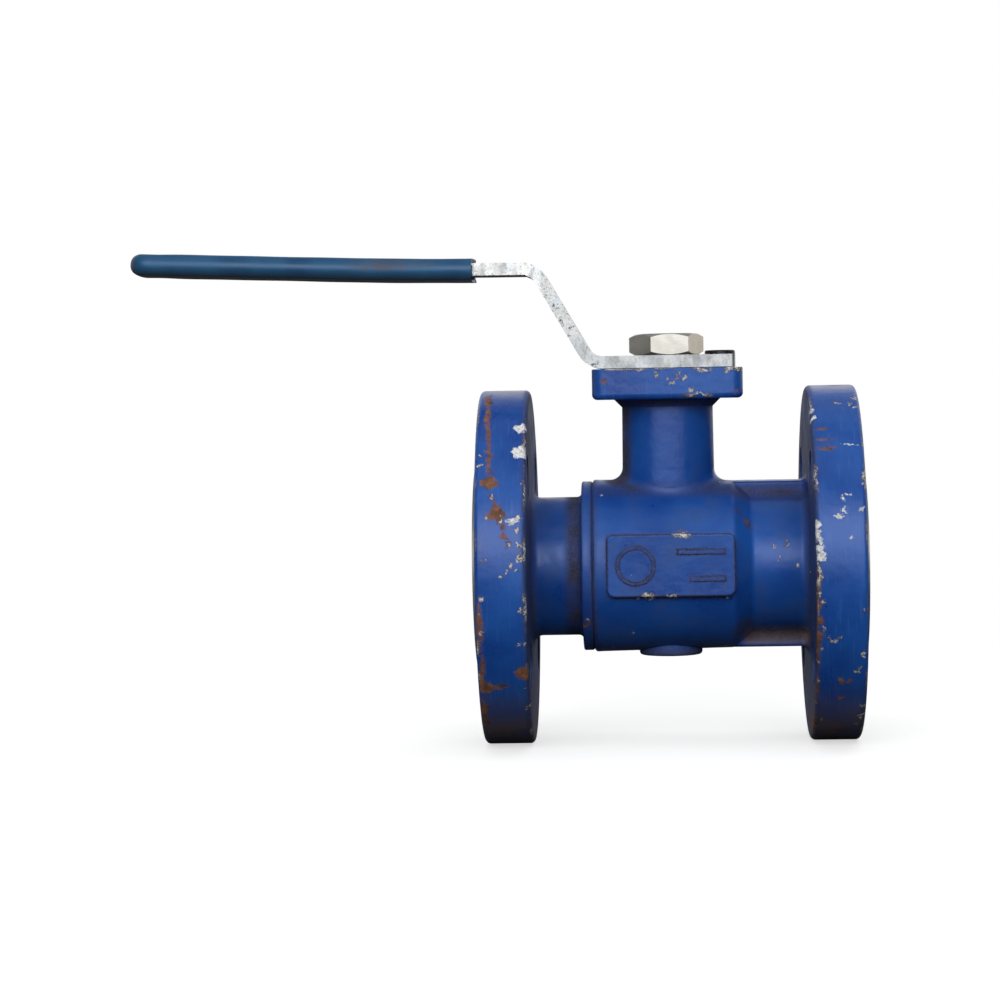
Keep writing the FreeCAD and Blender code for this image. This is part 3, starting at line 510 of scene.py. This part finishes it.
def enamel_wear(tree, node):
    """Places, noises and distances over one casting, and its shares of rust, chips, halo and primer."""
    place, shaken, broad = places(tree)
    x, y, z = add(tree, "SeparateXYZ", {0: place}).outputs
    side = calc(tree, "ABSOLUTE", x)
    across = vector_calc(tree, "MULTIPLY", place, (0, 1, 1))
    radius = vector_calc(tree, "LENGTH", across)
    coarse = cloudy(tree, place, 9, 3.0)
    fine = cloudy(tree, place, 0.8, 3.0, 0.7)

    # The unrolled rim: x, and the length round the rim from the front.
    sx, sy, sz = add(tree, "SeparateXYZ", {0: shaken}).outputs
    forward = calc(tree, "MULTIPLY", sy, -1.0)
    angle = calc(tree, "ARCTAN2", sz, forward)
    around = calc(tree, "MULTIPLY", angle, RIM_RADIUS)
    flat_rim = add(tree, "CombineXYZ", {0: sx, 1: around}).outputs[0]
    off_rim = ramp(tree, radius, *RIM_FADE, high=9.0)

    def away_from(layer, elsewhere):
        """Distance to a layer's spots on the rim and elsewhere, with its edge broken up by fine noise."""
        on_rim = calc(tree, "ADD", nearest(tree, flat_rim, unrolled(RIM_WEAR[node][layer])), off_rim)
        if elsewhere:
            on_rim = calc(tree, "MINIMUM", on_rim, nearest(tree, shaken, elsewhere))
        broken = calc(tree, "MULTIPLY_ADD", fine, 2.0, -1.0)
        return calc(tree, "ADD", on_rim, broken)

    # Edges: the distance from the two sharp corners of a rim's section, and from the pad's top corner.
    rim_x = calc(tree, "SUBTRACT", side, FLANGE_MIDDLE)
    rim_x = calc(tree, "ABSOLUTE", rim_x)
    rim_section = add(tree, "CombineXYZ", {0: rim_x, 1: radius}).outputs[0]
    edge = vector_calc(tree, "DISTANCE", rim_section, (FLANGE_HALF, RIM_RADIUS, 0))
    if node == "body_casting":
        folded = vector_calc(tree, "ABSOLUTE", place)
        flat_x, flat_y, _ = add(tree, "SeparateXYZ", {0: folded}).outputs
        widest = calc(tree, "MAXIMUM", flat_x, flat_y)
        pad_section = add(tree, "CombineXYZ", {0: widest, 1: z}).outputs[0]
        pad_edge = vector_calc(tree, "DISTANCE", pad_section, (PAD_HALF, PAD_TOP, 0))
        edge = calc(tree, "MINIMUM", edge, pad_edge)
    rough_edge = calc(tree, "MULTIPLY_ADD", fine, 3.0, edge)
    rough_edge = calc(tree, "MULTIPLY_ADD", coarse, 3.6, rough_edge)
    edge_chips = ramp(tree, rough_edge, 3.75, 3.45)

    chips = away_from("chips", CAST_CHIPS[node])
    return {
        "place": place, "x": x, "y": y, "z": z, "side": side, "radius": radius,
        "coarse": coarse, "broad": broad, "fine": fine, "edge_chips": edge_chips,
        "rust": share_of(tree, away_from("rust", CAST_RUST[node]), 0.35),
        "chips": joined(tree, share_of(tree, chips, 0.12), edge_chips),
        "halo": ramp(tree, chips, 0.6, 0.0),
        "primer": share_of(tree, away_from("primer", None), 0.12),
    }


print("enamel layers: rust, chips, halo and primer")

# %% Enamel: dirt and painted shade, and lines round the plate and its raised shapes
# The plate and its two bars: the middle and the half sizes of each, in x and z.
PLATE_SHAPES = [((0.25, 1.2), (20.3, 9.9)), ((9.8, 5.5), (7.5, 0.75)), ((11.8, -3.1), (5.5, 0.75))]
RING_CENTRE, RING_EDGES = (-11.0, 0.0, 1.2), (5.3, 6.2)
LINES_DEPTH, LINES_REACH = (-24.5, -26.0), 22.0    # lines fade in over the first two, and end at the last
LOW, NEAR_AXIS = (-34.0, -50.0), (44.0, 34.0)      # where the lighter brown underneath (dirt with painted bounce light) and the dirty film fade in


def plate_lines(tree, m):
    """Share of dirt in thin lines along the edges of the cast plate, its ring and its two bars: the distance
    to a box's outline is the larger of the two overshoots, and to a circle's it is radius less radius."""
    lines = None
    for (cx, cz), (hx, hz) in PLATE_SHAPES:
        moved = vector_calc(tree, "SUBTRACT", m["place"], (cx, 0, cz))
        folded = vector_calc(tree, "ABSOLUTE", moved)
        beyond = vector_calc(tree, "SUBTRACT", folded, (hx, 0, hz))
        bx, _, bz = add(tree, "SeparateXYZ", {0: beyond}).outputs
        line = calc(tree, "MAXIMUM", bx, bz)
        line = calc(tree, "ABSOLUTE", line)
        lines = line if lines is None else calc(tree, "MINIMUM", lines, line)
    flat = vector_calc(tree, "MULTIPLY", m["place"], (1, 0, 1))
    from_ring = vector_calc(tree, "DISTANCE", flat, RING_CENTRE)
    for size in RING_EDGES:
        line = calc(tree, "SUBTRACT", from_ring, size)
        line = calc(tree, "ABSOLUTE", line)
        lines = calc(tree, "MINIMUM", lines, line)
    lines = calc(tree, "MULTIPLY_ADD", m["fine"], 1.1, lines)
    drawn = ramp(tree, lines, 1.35, 0.60)
    front = ramp(tree, m["y"], *LINES_DEPTH)
    inner = calc(tree, "LESS_THAN", m["side"], LINES_REACH)
    return joined(tree, drawn, joined(tree, front, inner, "MULTIPLY"), "MULTIPLY")


def soft_share(tree, distance):
    """From 0 to 1 over the last two millimetres outside a zone and the first two inside it."""
    return ramp(tree, distance, 1.8, -2.2, smooth=True)


def enamel_dirt_and_shade(tree, m, node):
    """Share of dirt and painted shade: soft zones in corners and grooves, on the flanges' inner faces, on the
    shoulders and the boss underneath and round the stem neck, where dirt and painted shade lie together; the
    plate's lines; the undersides of the rims, dirt with painted bounce light; and a thin cloudy film of dirt
    over everything near the pipe's axis."""
    dirt_and_shade = soft_share(tree, nearest(tree, m["place"], DIRT_AND_SHADE[node]))
    if node == "body_casting":
        # Round the stem: the neck's foot, and under the pad a painted shadow with the dirt.
        from_stem = vector_calc(tree, "MULTIPLY", m["place"], (1, 1, 0))
        from_stem = vector_calc(tree, "LENGTH", from_stem)
        turned = add(tree, "CombineXYZ", {0: from_stem, 1: m["z"]}).outputs[0]
        round_stem = soft_share(tree, nearest(tree, turned, ROUND_STEM))
        dirt_and_shade = joined(tree, joined(tree, dirt_and_shade, round_stem), plate_lines(tree, m))
    # Towards the bottom the colour turns a lighter brown grey: dirt, with painted bounce light.
    below = m["below"] = ramp(tree, m["z"], *LOW)
    patchy = ramp(tree, m["coarse"], 0.32, 0.58, low=0.6, high=1.0)
    film = ramp(tree, m["coarse"], 0.48, 0.68, high=0.30)
    inside = ramp(tree, m["radius"], *NEAR_AXIS)
    film = joined(tree, film, inside, "MULTIPLY")
    return joined(tree, joined(tree, joined(tree, dirt_and_shade, below), patchy, "MULTIPLY"), film)


def specks(tree, m):
    """Share of tiny chips: nearly a millimetre across, in half the cells of a loose 9 mm pattern."""
    cells = add(tree, "TexVoronoi", {"Vector": m["place"], "Scale": 1 / 9}, feature="F1")
    near = ramp(tree, cells.outputs["Distance"], 0.060, 0.045)
    lot = add(tree, "SeparateColor", {0: cells.outputs["Color"]}).outputs[0]
    chosen = calc(tree, "GREATER_THAN", lot, 0.5)
    return joined(tree, near, chosen, "MULTIPLY")


print("dirt lines follow", len(PLATE_SHAPES), "boxes and a ring")

# %% Enamel: the material
TURNED_PITCH = 1.6                                 # mm from one ring of the turned faces to the next


def enamel(name, node):
    """Blue gloss enamel over primer and cast steel, with dirt and painted shade, dust with a painted sheen,
    rust, chips and turned steel faces.
    """
    made, tree = material(name)
    m = enamel_wear(tree, node)
    dirt_and_shade = enamel_dirt_and_shade(tree, m, node)
    chips = joined(tree, m["chips"], specks(tree, m))

    def over(share, below, above):
        return blend(tree, share, below, above)

    # Paint: cloudy over some 20 mm, with faint turning marks round the rims, 0.6 mm wide along the pipe.
    clouds = cloudy(tree, m["place"], 18, 4.0, 0.55)
    clouds = ramp(tree, clouds, 0.35, 0.65)
    paint = over(clouds, linear("#13479B"), linear("#1C5AB0"))
    drawn_out = vector_calc(tree, "MULTIPLY", m["place"], (1.6, 0.12, 0.12))
    marks = cloudy(tree, drawn_out, 1.0)
    marks = ramp(tree, marks, 0.56, 0.74, high=0.18)
    on_rim = calc(tree, "GREATER_THAN", m["radius"], RIM_FACE)
    paint = over(joined(tree, marks, on_rim, "MULTIPLY"), paint, linear("#5B8ACB"))
    # Upward faces are painted a pale grey: dust, and a painted sheen of the bright room above.
    upward = add(tree, "SeparateXYZ", {0: add(tree, "NewGeometry").outputs["Normal"]}).outputs[2]
    dust_and_sheen = ramp(tree, upward, 0.945, 0.995, high=0.5)
    paint = over(dust_and_sheen, paint, linear("#8F8E9C"))

    # Grime: the colour of dirt and of painted shade in corners, grooves and on the inner faces; towards the
    # bottom it turns a lighter brown grey, dirt with painted bounce light.
    mottle = ramp(tree, m["fine"], 0.38, 0.62)
    grime_and_shade = over(m["below"], over(mottle, linear("#2A2325"), linear("#463B38")), linear("#6A574C"))
    colour = over(calc(tree, "MULTIPLY", dirt_and_shade, 0.86), paint, grime_and_shade)
    # The lower ribs from x 22.5 mm on are painted a pale brown: dust, and a painted highlight on their upward
    # fillets.
    if node == "body_casting":
        rib_dust_and_highlight = soft_share(tree, nearest(tree, m["place"], RIB_DUST_AND_HIGHLIGHT))
        rib_dust_and_highlight = joined(tree, rib_dust_and_highlight, ramp(tree, m["x"], 22.5, 24.5, high=0.9), "MULTIPLY")
        colour = over(rib_dust_and_highlight, colour, over(m["broad"], linear("#54474A"), linear("#8A7A72")))
    blotches = ramp(tree, m["broad"], 0.36, 0.62)
    colour = over(m["rust"], colour, over(blotches, linear("#4B342B"), linear("#93603F")))
    halo = calc(tree, "MULTIPLY", m["halo"], 0.3)
    colour = over(halo, colour, over(mottle, linear("#2A2C3C"), linear("#5D463A")))
    speckle = ramp(tree, m["fine"], 0.41, 0.53)
    beige = over(speckle, linear("#5C4E48"), over(blotches, linear("#A9A9A8"), linear("#B5A996")))
    bright = ramp(tree, m["fine"], 0.47, 0.55)
    colour = over(chips, colour, over(bright, beige, linear("#E2E0DA")))
    colour = over(m["primer"], colour, over(speckle, linear("#B9B8B6"), linear("#F0F1F2")))

    # Turned steel: the raised faces, and the bore with everything inside it.
    far = calc(tree, "GREATER_THAN", m["side"], FACE_START)
    small = calc(tree, "LESS_THAN", m["radius"], FACE_RADIUS)
    bore = calc(tree, "LESS_THAN", m["radius"], BORE_RADIUS)
    turned = joined(tree, joined(tree, far, small, "MULTIPLY"), bore)
    rings = calc(tree, "MULTIPLY", m["radius"], 2 * math.pi / TURNED_PITCH)
    rings = calc(tree, "SINE", rings)
    line = add(tree, "CombineXYZ", {0: m["radius"]}).outputs[0]
    tones = cloudy(tree, line, 1.5)
    tones = ramp(tree, tones, 0.35, 0.65, high=0.55)
    steel = over(clouds, linear("#A9A49C"), linear("#C9C6C1"))
    colour = over(turned, colour, over(tones, steel, linear("#8C8780")))

    worn = joined(tree, joined(tree, m["rust"], chips), joined(tree, dirt_and_shade, m["primer"]))
    rough = ramp(tree, clouds, low=0.27, high=0.38)
    rough = between(tree, worn, rough, 0.80)
    rough = between(tree, turned, rough, 0.42)
    metal = calc(tree, "MULTIPLY", turned, 0.5)

    # Height in mm: cast skin under the paint, paint 0.1 thick at a worn edge, and rings 0.02 deep. They are
    # further apart than a real tool leaves them, because real ones are too fine to show.
    skin = cloudy(tree, m["place"], 3.0, 3.0)
    height = calc(tree, "MULTIPLY", skin, 0.16)
    height = calc(tree, "MULTIPLY_ADD", m["edge_chips"], -0.10, height)
    ringed = calc(tree, "MULTIPLY", rings, turned)
    height = calc(tree, "MULTIPLY_ADD", ringed, 0.012, height)
    surface(tree, colour, rough, height, 0.8, 1.0, Metallic=metal, IOR=1.5)
    return made


COATS = {node: enamel("blue gloss enamel, " + node.replace("_", " "), node)
         for node in ("body_casting", "end_piece")}
for node, coat in COATS.items():
    print(coat.name, len(coat.node_tree.nodes), "nodes")

# %% [markdown]
# ## The metals
# The lever is plain steel plate with bright zinc plating that has gone dull in blotches, from white to blue
# grey, and is scratched along its arm. The nut, the stem and the ball are stainless steel that was turned, so
# it has very fine rings round the stem's axis. The stop screw is blackened and oiled. Metals need few layers:
# the colour is the reflection itself, so most of the look lies in how rough each patch is.

# %% Zinc plating
LEVER_ARM = [((-33.0, 0.0, 84.0), 10.0), ((-22.5, 0.0, 66.5), 2.5)]      # where it was scratched the most


def zinc():
    """Zinc-plated plate: pale blotches over grey, fine dark pits, and dark scratches, with more blotches and
    scratches on the arm. Sheared edges are painted darker on the head than on the hand bar, as painted shade,
    and the undersides are painted darker as painted shade."""
    made, tree = material("dull zinc plating on steel")
    place, shaken, broad = places(tree)
    height = add(tree, "SeparateXYZ", {0: place}).outputs[2]
    normal_y, normal_z = add(tree, "SeparateXYZ", {0: add(tree, "NewGeometry").outputs["Normal"]}).outputs[1:]
    arm = nearest(tree, place, [((1, 0, 0.6), LEVER_ARM)])
    arm = ramp(tree, arm, 2.0, -2.0)

    def over(share, below, above, how="MIX"):
        return blend(tree, share, below, above, how)

    def raised_on_arm(noise, amount):
        return calc(tree, "MULTIPLY_ADD", arm, amount, noise)

    upright = vector_calc(tree, "MULTIPLY", place, (1, 1, 0.45))
    blotch = cloudy(tree, upright, 2.8, 4.0, 0.64)
    blotch = ramp(tree, raised_on_arm(blotch, 0.16), 0.34, 0.56)
    tint = ramp(tree, broad, 0.40, 0.60)
    colour = over(blotch, linear("#B4B5B4"), over(tint, linear("#D1D6D9"), linear("#DFDDD6")))
    # The sheared edges of the head are painted darker: painted shade.
    on_head = ramp(tree, height, 76.0, 69.0, high=0.5)
    sheared = calc(tree, "ABSOLUTE", normal_y)
    shaded_zinc = over(1.0, colour, linear("#CBCED0"), how="MULTIPLY")
    colour = over(joined(tree, on_head, sheared, "MULTIPLY"), colour, shaded_zinc)
    pits = cloudy(tree, place, 0.7, 3.0, 0.7)
    pits = ramp(tree, pits, 0.57, 0.65, high=0.65)
    colour = over(pits, colour, linear("#7C7975"))
    scratch = cloudy(tree, shaken, 1.5, 4.0, 0.7)
    scratch = ramp(tree, raised_on_arm(scratch, 0.08), 0.66, 0.70)
    colour = over(scratch, colour, linear("#5E5850"))
    # Downward faces are painted a dark brown grey, half over: painted shade.
    colour = over(ramp(tree, normal_z, -0.4, -0.9, high=0.5), colour, linear("#6B645C"))
    rough = ramp(tree, blotch, low=0.46, high=0.34)
    rough = between(tree, scratch, rough, 0.7)
    metal = ramp(tree, scratch, low=0.85, high=0.2)
    depth = calc(tree, "MULTIPLY_ADD", scratch, -0.05, blotch)
    surface(tree, colour, rough, depth, 0.15, 0.1, Metallic=metal)
    return made


print("zinc: more scratches at", len(LEVER_ARM), "places on the arm")

# %% Stainless steel, blackened steel and PTFE
def stainless():
    """Turned stainless steel: fine rings round the stem axis, a warm grey, a few dull patches."""
    made, tree = material("turned stainless steel")
    place = places(tree)[0]
    from_stem = vector_calc(tree, "MULTIPLY", place, (1, 1, 0))
    from_stem = vector_calc(tree, "LENGTH", from_stem)
    height = add(tree, "SeparateXYZ", {0: place}).outputs[2]
    drawn = add(tree, "CombineXYZ", {0: from_stem, 2: height}).outputs[0]
    rings = cloudy(tree, drawn, 0.35)
    dull = cloudy(tree, place, 7.0, 3.0)
    dull = ramp(tree, dull, 0.45, 0.70)
    colour = blend(tree, dull, linear("#CFCBC3"), linear("#BFBAAF"))
    rough = ramp(tree, dull, low=0.22, high=0.28)
    surface(tree, colour, rough, rings, 0.25, 0.03, Metallic=1.0)
    return made


def blackened():
    """Blackened, oiled steel: nearly black, with brown rubbed through on its high spots."""
    made, tree = material("blackened oiled steel")
    shaken = places(tree)[1]
    rubbed = cloudy(tree, shaken, 1.2, 4.0)
    rubbed = ramp(tree, rubbed, 0.52, 0.72)
    colour = blend(tree, rubbed, linear("#26262C"), linear("#57504C"))
    rough = ramp(tree, rubbed, low=0.36, high=0.58)
    surface(tree, colour, rough, rubbed, 0.3, 0.05, Metallic=0.6)
    return made


def waxy_white():
    """Virgin PTFE, skived from a rod: waxy white with faint grey bands."""
    made, tree = material("virgin PTFE")
    shaken = places(tree)[1]
    bands = cloudy(tree, shaken, 3.0)
    colour = blend(tree, bands, linear("#D8D7D0"), linear("#ECEBE6"))
    rough = ramp(tree, bands, low=0.42, high=0.55)
    surface(tree, colour, rough, bands, 0.1, 0.05, IOR=1.35)
    return made


FINISHES = {"zinc_plated_steel": zinc(), "stainless_steel": stainless(),
            "black_steel": blackened(), "ptfe": waxy_white()}
finished = 0
for part in frame["record"]["subparts"]:
    finish = COATS.get(part["node"]) or FINISHES.get(part["material_slot"])
    if finish:
        mesh = frame["nodes"][part["node"]].data
        mesh.materials.clear()
        mesh.materials.append(finish)
        finished += 1
print("finishes given to", finished, "of", len(frame["nodes"]), "nodes; the grip comes next")

# %% [markdown]
# ## The grip
# The lever's end was heated and dipped in liquid vinyl, which left a sleeve with a round closed end. It was
# then cut off roughly where the bare bar starts, so its mouth is ragged and shows a pale lip. A tube round a
# bent line is easy to write as a function of two numbers: how far along the sleeve, and how far round it.

# %% Grip: its centre line and its sections
SWEEP_START_X, SWEEP_LENGTH, SWEEP_RADIUS = -45.0, 60.0, 1500.0   # of the bar's upward curve, top face
BAR_TOP_Z, BAR_THICKNESS, BAR_WIDTH = 98.7, 4.0, 18.0
GRIP_HEIGHT, GRIP_WIDTH, GRIP_SAG = 7.8, 24.0, 0.1
GRIP_CORNER = 6.0                                                 # round ends in plan
GRIP_INSET, GRIP_SHORTER = 0.35, 1.2                              # so that it stays inside the plain CAD grip
MOUTH_RAGGED, MOUTH_DEPTH = 0.9, 7.0
TIP_RINGS = 22
WAVE_SINK, SIDE_SINK = 0.10, 0.12                                 # of the slow waves, in height and in width
PINCH_SINK, PINCH_PLACE, PINCH_REACH = 0.14, 9.0, 5.0             # a shallow waist behind the tip
STADIUM_STRETCH, BOX_STRETCH = 2.6, 1.42


def centre_line(s):
    """Middle of the bar at distance s from where its curve starts: an arc of 60 mm, then straight on.
    On the arc x falls by the radius times sin(angle) and z rises by the radius times 1 - cos(angle)."""
    radius = SWEEP_RADIUS + BAR_THICKNESS / 2
    end = SWEEP_LENGTH / SWEEP_RADIUS
    angle = np.minimum(s / radius, end)
    rest = np.maximum(s - radius * end, 0.0)
    x = SWEEP_START_X - radius * np.sin(angle) - rest * math.cos(end)
    z = BAR_TOP_Z - BAR_THICKNESS / 2 + radius * (1 - np.cos(angle)) + rest * math.sin(end)
    return x, z, angle


def section(turn, half_width, half_height, squareness):
    """A closed outline round the bar, at turn from 0 to 2 pi: a stadium, the half height as its end radius.
    With squareness 1 it is a rectangle instead. Straight stretches are a cosine or sine, stretched and cut
    off at 1."""
    c, s = np.cos(turn), np.sin(turn)
    flat = half_width - half_height
    stadium = (flat * np.clip(STADIUM_STRETCH * c, -1, 1) + half_height * c, half_height * s)
    box = (half_width * np.clip(BOX_STRETCH * c, -1, 1), half_height * np.clip(BOX_STRETCH * s, -1, 1))
    return tuple(a + (b - a) * squareness for a, b in zip(stadium, box))


grip_low, grip_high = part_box("lever_grip")
slope = SWEEP_LENGTH / SWEEP_RADIUS
start = (SWEEP_START_X - grip_high.x / MM) + GRIP_INSET
length = (grip_high.x - grip_low.x) / MM / math.cos(slope) - GRIP_SHORTER
print("grip from", round(start, 1), "over", round(length, 1), "mm")

# %% Grip: the surface
def grip_mesh(rings_along=150, points_round=72):
    """Rings of points from the closed tip to the mouth, over the lip and back inside along the bar.
    A ring's half height and half width follow a quarter circle at the tip, sink in by a tenth of a
    millimetre in slow waves, and shrink to the bar's own outline on the way back in."""
    turn = np.linspace(0, 2 * math.pi, points_round, endpoint=False)
    tip = GRIP_HEIGHT / 2 * (1 - np.cos(np.linspace(0, math.pi / 2, TIP_RINGS)))
    body = np.linspace(GRIP_HEIGHT / 2, length, rings_along)[1:]
    along = np.concatenate([tip, body])
    back = GRIP_HEIGHT / 2
    nose_h = np.sqrt(np.clip(1 - (1 - np.minimum(along / back, 1)) ** 2, 0, 1))
    nose_w = np.sqrt(np.clip(1 - (1 - np.minimum(along / GRIP_CORNER, 1)) ** 2, 0, 1))
    waves = 0.5 + 0.5 * np.sin(along / 13.0 + 0.6) * np.cos(along / 5.3)
    pinch = np.exp(-((along - PINCH_PLACE) / PINCH_REACH) ** 2)
    half_h = (GRIP_HEIGHT / 2 - WAVE_SINK * waves - PINCH_SINK * pinch) * nose_h
    half_w = (GRIP_WIDTH / 2 - GRIP_CORNER - SIDE_SINK * waves) + GRIP_CORNER * nose_w
    square = np.zeros_like(along)
    ragged = MOUTH_RAGGED * (0.5 + 0.28 * np.sin(3 * turn + 1.1) + 0.16 * np.sin(8 * turn + 0.4)
                             + 0.10 * np.sin(19 * turn))
    # The lip and the inner wall: distance from the mouth inwards, half sizes and squareness of each ring. The
    # wall comes down on the bar to 0.08 mm, and the last ring closes it.
    bar_h, bar_w = BAR_THICKNESS / 2, BAR_WIDTH / 2
    lip = np.array([0.0, 0.25, 1.2, MOUTH_DEPTH, MOUTH_DEPTH])
    lip_h = np.array([3.75, bar_h + 0.5, bar_h + 0.12, bar_h + 0.08, 0.01])
    lip_w = np.array([11.4, bar_w + 0.9, bar_w + 0.2, bar_w + 0.08, 0.01])
    lip_square = np.array([0.0, 0.8, 1.0, 1.0, 1.0])
    along = np.concatenate([along, length - lip])
    half_h, half_w = np.concatenate([half_h, lip_h]), np.concatenate([half_w, lip_w])
    square = np.concatenate([square, lip_square])
    near_mouth = np.exp(-(length - along) / 2.0)[:, None]
    s = start + length - along[:, None] + near_mouth * ragged[None, :]
    y, up_by = section(turn[None, :], half_w[:, None], half_h[:, None], square[:, None])
    x, z, angle = centre_line(s)
    x, z = x + up_by * np.sin(angle), z - GRIP_SAG + up_by * np.cos(angle)
    points = np.stack([x, np.broadcast_to(y, x.shape), z], axis=-1)
    rings, each = points.shape[:2]
    ring, point = np.meshgrid(np.arange(rings - 1), np.arange(each), indexing="ij")
    here, beside = ring * each + point, ring * each + (point + 1) % each
    quads = np.stack([here, beside, beside + each, here + each], axis=-1)
    mesh = bpy.data.meshes.new("vinyl_grip")
    mesh.from_pydata((points.reshape(-1, 3) * MM).tolist(), [], quads.reshape(-1, 4).tolist())
    return mesh


MERGE = 0.00001                                                   # in metres: joins the points at the tip
grip = bpy.data.objects.new("vinyl_grip", grip_mesh())
scene.collection.objects.link(grip)
work = bmesh.new()
work.from_mesh(grip.data)
bmesh.ops.remove_doubles(work, verts=work.verts, dist=MERGE)
bmesh.ops.recalc_face_normals(work, faces=work.faces)
work.to_mesh(grip.data)
work.free()
grip.data.shade_smooth()
print("grip:", len(grip.data.polygons), "faces; box in mm",
      [round(min(v.co[i] for v in grip.data.vertices) / MM, 2) for i in range(3)],
      [round(max(v.co[i] for v in grip.data.vertices) / MM, 2) for i in range(3)])

# %% [markdown]
# ## Vinyl
# Dipped vinyl is a soft plastic with a satin skin. Hands have polished it, and dirt and smears of rust have
# worked into it. It reflects a broad pale band, so its roughness is what makes it look soft.

# %% Vinyl
SMEARS = [((-91.0, -11.5, 98.6), 2.4), ((-79.0, -12.0, 98.6), 1.3), ((-120.0, 9.0, 104.0), 2.6)]
GRIP_ENDS = [((-175.0, 0.0, 0.0), 4.2), ((-61.2, 0.0, 0.0), 1.2)]


def vinyl():
    """Teal blue dipped vinyl: cloudy, painted shade underneath with a painted bounce-light line, grubby ends,
    rusty smears.
    """
    made, tree = material("dipped blue vinyl")
    place, shaken, _ = places(tree)
    clouds = cloudy(tree, place, 14, 4.0)
    clouds = ramp(tree, clouds, 0.35, 0.65)
    colour = blend(tree, clouds, linear("#154D77"), linear("#205C87"))
    fine = cloudy(tree, shaken, 1.6, 4.0, 0.65)
    smear = nearest(tree, shaken, [((0.2, 0.4, 1), SMEARS)])
    smear = ramp(tree, smear, 0.3, -1.5, high=0.75)
    smear = calc(tree, "MULTIPLY", smear, ramp(tree, fine, 0.36, 0.60))
    colour = blend(tree, smear, colour, linear("#5F4A3C"))
    down = add(tree, "SeparateXYZ", {0: add(tree, "NewGeometry").outputs["Normal"]}).outputs[2]
    # The underside is painted a dark grey: painted shade.
    painted_shade_below = ramp(tree, down, -0.15, -0.85, high=0.7)
    colour = blend(tree, painted_shade_below, colour, linear("#343E44"))
    # The lowest strip is painted a pale grey: a painted line of bounce light.
    painted_bounce_light = ramp(tree, down, -0.88, -0.98, high=0.7)
    colour = blend(tree, painted_bounce_light, colour, linear("#A8AAA9"))
    ends = nearest(tree, shaken, [((1, 0, 0), GRIP_ENDS)])
    ends = ramp(tree, ends, 0.5, -1.8, high=0.6)
    colour = blend(tree, ends, colour, linear("#4E4D4A"))
    rough = ramp(tree, clouds, low=0.34, high=0.46)
    rough = between(tree, smear, rough, 0.75)
    surface(tree, colour, rough, fine, 0.2, 0.06, IOR=1.53)
    return made


grip.data.materials.append(vinyl())
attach(grip, "stem_and_lever")
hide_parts("lever_grip")
print("grip finished in", grip.data.materials[0].name)

# %% [markdown]
# ## The view transform
# The colours are shown through Blender's Standard view transform.

# %% View transform
scene.view_settings.view_transform = "Standard"
